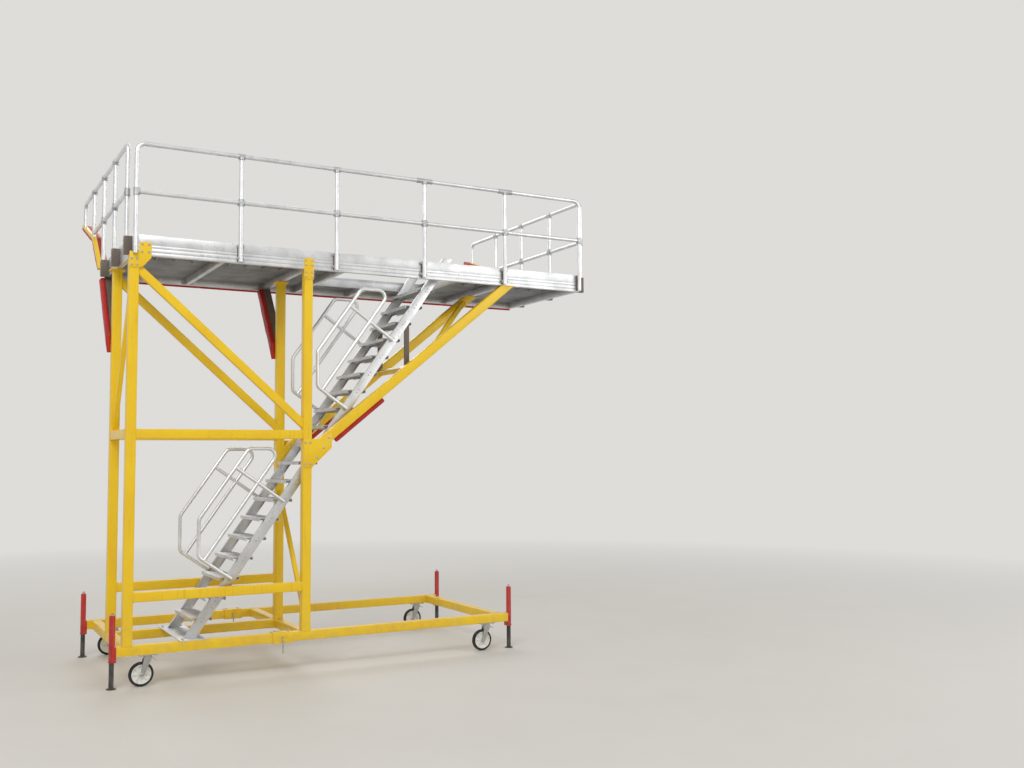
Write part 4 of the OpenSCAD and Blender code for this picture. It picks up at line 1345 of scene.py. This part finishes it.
    @staticmethod
    def slab(points: Sequence[Vector], low: float, high: float) -> Piece:
        """Draws an outline across the deck and extrudes it from one place along it to another."""
        return drawn_bar([(p.x, p.y) for p in points], seat(low, 0, 0, Y, X), high - low)

    def arm_pads(self) -> None:
        """Pads under the two cantilever arms."""
        foot, head = (Vector(end) for end in self.arm)
        along = (head - foot).normalized()
        way, out = Vector((along.x, 0, along.y)), Vector((along.y, 0, -along.x))
        low, high = self.arm_pad
        width, thick = self.thick - 2 * self.shrink, self.thick - self.shrink - 1
        length = high - low - 2 * self.shrink
        start = foot + along * (low + self.shrink)
        slabs = []
        for y in self.arm_rows:
            middle = at(start.x, y, start.y) + out * (self.arm_face + 0.5 + thick / 2) * MM
            slabs.append(drawn_bar(rounded_rectangle(width, thick, 12), facing(middle, Y, way), length))
        rest = at(foot.x, 0, foot.y)
        seams = [(middle + way * length * MM * k / 3, way) for k in (1, 2)]
        self.sewn("arm_pads", slabs, lambda co: (co - rest).dot(out) < 0.058, seams)

    def knee_pads(self) -> None:
        """Pads on the outer face of the knee braces and along their left side."""
        foot, head = (Vector(end) for end in self.knee)
        along = (head - foot).normalized()
        out = Vector((along.y, -along.x))

        def line(d: float) -> list[Vector]:
            """Lays out a line along the brace.

            Args:
                d: Its distance from the brace's middle.

            Returns:
                Its ends at the column and under the deck.
            """
            base = foot + out * d
            return [base + along * (foot.x + self.shrink - base.x) / along.x,
                    base + along * (head.y - self.shrink - base.y) / along.y]

        slabs, far = [], self.knee_face + self.thick - self.shrink
        for x, (near, end) in product(COLUMNS_X, ((self.knee_face + 1, 45 - self.shrink),
                                                  (self.shrink - 35, -46))):
            slabs.append(self.slab(line(near) + line(far)[::-1], x + self.knee_left + self.shrink, x + end))
        rest, turn = at(0, foot.x, foot.y), Vector((0, out.x, out.y))
        way = Vector((0, along.x, along.y))

        def rests(co: Vector) -> bool:
            """Tells whether a point rests on the brace's face or along its side.

            Args:
                co: The point.

            Returns:
                True where it stays put.
            """
            spots = [(co.x - rest.x) / MM - x for x in COLUMNS_X]
            beside = any(abs(s + 45) < 4 for s in spots)
            over = all(not self.knee_left < s < -50 for s in spots)
            return (co - rest).dot(turn) < 0.0385 and (over or beside)

        self.sewn("knee_pads", slabs, rests, [(rest + way * s * MM, way) for s in self.knee_seams])

    def bumper(self) -> None:
        """Bumper along the deck's inner edge, in five lengths."""
        x, y, z = self.bumper_start
        low, top, length = self.bumper_low, self.bumper_top, self.bumper_length
        outline = [(1, low), (38, low), (52, low + 12), (55, low + 30),
                   (55, 76), (52, 94), (38, top - self.shrink), (1, top - self.shrink)]
        pad = drawn_bar(outline, seat(x + 3, y, z, Y, X), length - 6)
        back, middle = at(0, y, 0).y, at(x + length / 2, 0, 0).x
        self.sewn("inner_bumper", [pad], lambda co: co.y < back + 0.006,
                  [(Vector((middle, 0, 0)), X)],
                  [Matrix.Translation((length * k * MM, 0, 0)) for k in range(5)])

    def crown_pads(self) -> None:
        """Pads under and beside the crown arms."""
        ways = [(end - start).normalized() for start, end in zip(CROWN, CROWN[1:])]
        ups = [Vector((-way.y, way.x)) for way in ways]
        mitre = (ups[0] + ups[1]) / (1 + ups[0].dot(ups[1]))

        def layer(d: float) -> list[Vector]:
            """Lays out a line along the arm.

            Args:
                d: Its height across the arm.

            Returns:
                Its points at the foot, the knee and the end.
            """
            foot = CROWN[0] + ups[0] * d
            foot = foot + ways[0] * (self.crown_ground + self.shrink - foot.y) / ways[0].y
            return [foot, CROWN[1] + mitre * d, CROWN[2] + ups[1] * d - ways[1] * self.shrink]

        slabs = [self.slab(layer(self.shrink + self.crown_face) + layer(high)[::-1], left, 24 - self.shrink)
                 for left, high in ((self.shrink - 106, -1.3), (-48, 34 - self.shrink))]
        seams = []
        for k, s in self.crown_seams:
            spot = CROWN[k] + ways[k] * s
            seams.append((at(0, spot.x, spot.y), Vector((0, ways[k].x, ways[k].y))))

        def rests(co: Vector) -> bool:
            """Tells whether a point rests on the steel bar."""
            p = (co - ORIGIN) / MM
            return p.x < -44 and any((p.yz - CROWN[k + 1]).dot(ups[k]) > -7 for k in (0, 1))

        middle = at(self.crown_middle, 0, 0)
        flip = Matrix.Translation(middle) @ Matrix.Scale(-1, 4, X) @ Matrix.Translation(-middle)
        self.sewn("crown_pads", slabs, rests, seams, (Matrix(), flip))


@dataclass
class Stairs:
    """The straight flight: channel stringers, ribbed treads, hangers, bolts and handrail loops."""

    slope: float = math.radians(54.9)
    foot: Pair = (655.0, PLATES_TOP)
    risers: int = 20
    webs: Pair = (75.0, 930.0)
    planes: Pair = (50.0, 955.0)
    starts: Pair = (730.0, 3000.0)
    radius: float = 20.0
    bend: float = 80.0
    corner: float = 430.0
    middle: float = 360.0
    outer: float = 660.0
    length: float = 1250.0
    strut: float = 1000.0
    lug: Outline = ((0, 0), (24, 0), (24, 4), (17, 7), (17, 24), (0, 24))

    def build(self) -> None:
        """Builds the flight."""
        softened("stair_stringers", "stair_stringer_channels", 1.6, ALLOY_STAIR)
        dressed("stair_treads", ALLOY_Y)
        softened("stair_foot_plate", "stair_foot_plate_cut", 2, ALLOY_X)
        # The hangers take the grey-brown painted shade
        softened("stair_hangers", "stair_hanger_bars", 3, SHADE_BROWN_ENAMEL)
        self.bolts()
        self.handrails()

    def bolts(self) -> None:
        """Bolts each tread through the webs, and the foot plate to the beams."""
        riser = (DECK_TOP - BEAMS_TOP) / self.risers
        along = Vector((math.cos(self.slope), 0, math.sin(self.slope)))
        places = []
        for k, s in product(range(1, self.risers), (-22, 22)):
            z = BEAMS_TOP + k * riser - 18
            x = self.foot[0] + (z - self.foot[1]) / math.tan(self.slope)
            places += [facing(at(x, web, z) + along * s * MM, along, out)
                       for web, out in zip(self.webs, (-Y, Y))]
        fitted(copies(hex_bolt(13, 5), places, "tread_bolts"), GALVANISED)
        feet = [seat(x, y, PLATES_TOP) for x, y in product((560, 760), (-25, 25, 980, 1030))]
        fitted(copies(hex_bolt(19, 8), feet, "foot_plate_bolts"), GALVANISED)

    def on_stair(self, s: float, p: float) -> Vector:
        """Gives X and Z of a point by its distance up the slope and its height across it."""
        return Vector((self.foot[0] + s * math.cos(self.slope) - p * math.sin(self.slope),
                       self.foot[1] + s * math.sin(self.slope) + p * math.cos(self.slope)))

    def loop(self, start: float) -> list[Vector]:
        """Lays out one loop, from its foot up, over and back as the middle rail.

        Args:
            start: The foot's distance up the slope.

        Returns:
            X and Z of its corners.
        """
        top = self.on_stair(start + self.length, self.outer)
        back = (top.y - self.on_stair(0, self.middle).y) / math.sin(self.slope)
        rise = (self.outer - self.corner) * math.tan(self.slope)
        return [self.on_stair(start, 0), self.on_stair(start, self.corner),
                self.on_stair(start + rise, self.outer), top,
                self.on_stair(back, self.middle), self.on_stair(start, self.middle)]

    def handrails(self) -> None:
        """Bends the loops beside the flight and turns their stand-off lugs."""
        rails, lugs = [], []
        for (plane, web), start in product(zip(self.planes, self.webs), self.starts):
            post = start + self.strut
            path = [at(p.x, plane, p.y) for p in self.loop(start)]
            stay = [self.on_stair(post, 0), self.on_stair(post, self.outer)]
            rails += [tube(rounded(path, self.bend, 9), self.radius),
                      tube([at(p.x, plane, p.y) for p in stay], self.radius)]
            for p in (self.on_stair(start, 40), self.on_stair(post, 40)):
                lugs.append(seat(p.x, web, p.y, Z, Y * (plane - web)))
        fitted(smooth(joined(rails, "stair_handrail_tubes")), ALLOY_TUBE,
               nodes=["handrail_tubes", "handrail_bends"])
        fitted(smooth(copies(turned(self.lug, 24), lugs, "handrail_lugs")), CAST_ALLOY)


@dataclass
class Jacks:
    """Red jack tubes on the base beams' ends, with their black legs and feet."""

    places_x: Pair = (-142.0, 4472.0)
    low: float = 268.0
    top: float = 740.0
    collar: Outline = ((25.3, 0), (33.5, 0), (34.5, 1.5), (34.5, 12), (33, 14), (25.3, 14))
    leg: Outline = ((0, 0), (47, 0), (50, 2.5), (50, 7), (47.5, 9.5), (36, 11), (29, 16), (25, 24),
                    (25, 506), (22, 510), (0, 510))

    def build(self) -> None:
        """Builds the jacks."""
        softened("jack_tubes", "jack_tube_housings", 2, RED_PAINT)
        spots = list(corners(self.places_x))
        collars = copies(turned(self.collar), [seat(x, y, self.low) for _, x, y in spots],
                         "jack_collars")
        fitted(smooth(collars), RED_PAINT)
        nuts = [seat(x, y, self.top) for _, x, y in spots]
        fitted(copies(hex_bolt(27, 16), nuts, "jack_spindle_nuts"), GALVANISED)
        for which, x, y in spots:
            leg = copies(turned(self.leg, 40), [seat(x, y, 0)], f"jack_leg_{which}_bar")
            fitted(smooth(leg), BLACK_PAINT, f"jack_leg_{which}", [f"jack_leg_{which}"])


@dataclass
class Casters:
    """Swivel casters: bolted plates, ball races, forks, nylon wheels and rubber tyres."""

    pivots_x: Pair = (210.0, 4160.0)
    trail: float = 62.0
    axle_z: float = 125.0
    plate: float = 8.0
    nut_y: float = 35.0
    tread: Outline = ((98.1, -23), (104, -23), (106, -21.8), (110, -21.8), (112, -23), (117, -22.4),
                      (120.5, -20), (123.2, -15.5), (124.6, -10), (125, -6), (125, -3))

    def build(self) -> None:
        """Builds the plates and the four casters."""
        softened("caster_plates", "caster_top_plates", 1.6, GALVANISED)
        spots = list(corners(self.pivots_x))
        bolts = [seat(x + dx, y + dy, BEAMS_UNDER - self.plate, X, -Z)
                 for (_, x, y), dx, dy in product(spots, (-76, 76), (-32, 32))]
        fitted(copies(hex_bolt(15, 7), bolts, "caster_plate_bolts"), GALVANISED)
        for which, x, y in spots:
            self.caster(which, x - self.trail, y)

    def caster(self, which: str, x: float, y: float) -> None:
        """Builds one fork and its wheel, whose tyre has a rounded tread and a groove on each side.

        Args:
            which: Row and side of the caster.
            x: Its axle's place along the base.
            y: Its axle's place across it.
        """
        fork, wheel = f"caster_{which}", f"wheel_{which}"
        softened(f"fork_{which}", f"fork_{which}_pressed", 1.6, GALVANISED, body=fork)
        nuts = [seat(x, y + way * self.nut_y, self.axle_z, Z, Y * way) for way in (-1, 1)]
        fitted(copies(hex_bolt(24, 10), nuts, f"axle_nuts_{which}"), GALVANISED, fork)
        softened(f"rim_{which}", f"rim_{which}_moulded", 1.2, WHEEL_NYLON, body=wheel)
        section = [*self.tread, *((r, -h) for r, h in reversed(self.tread))]
        tyre = copies(turned(section, 72), [seat(x, y, self.axle_z, X, Y)], f"tyre_{which}_moulded")
        fitted(smooth(tyre), TYRE_RUBBER, wheel, [f"tyre_{which}"])


def main() -> None:
    """Builds the stand's sub-assemblies in order and reports each one."""
    bpy.context.scene.view_settings.view_transform = "Standard"
    for part in (Studio(), WeldedFrame(), LockPins(), Deck(), Guardrails(), Stairs(), Jacks(),
                 Casters(), Padding()):
        part.build()
        LOG.info("built %s", type(part).__name__)


if __name__ == "__main__":
    main()
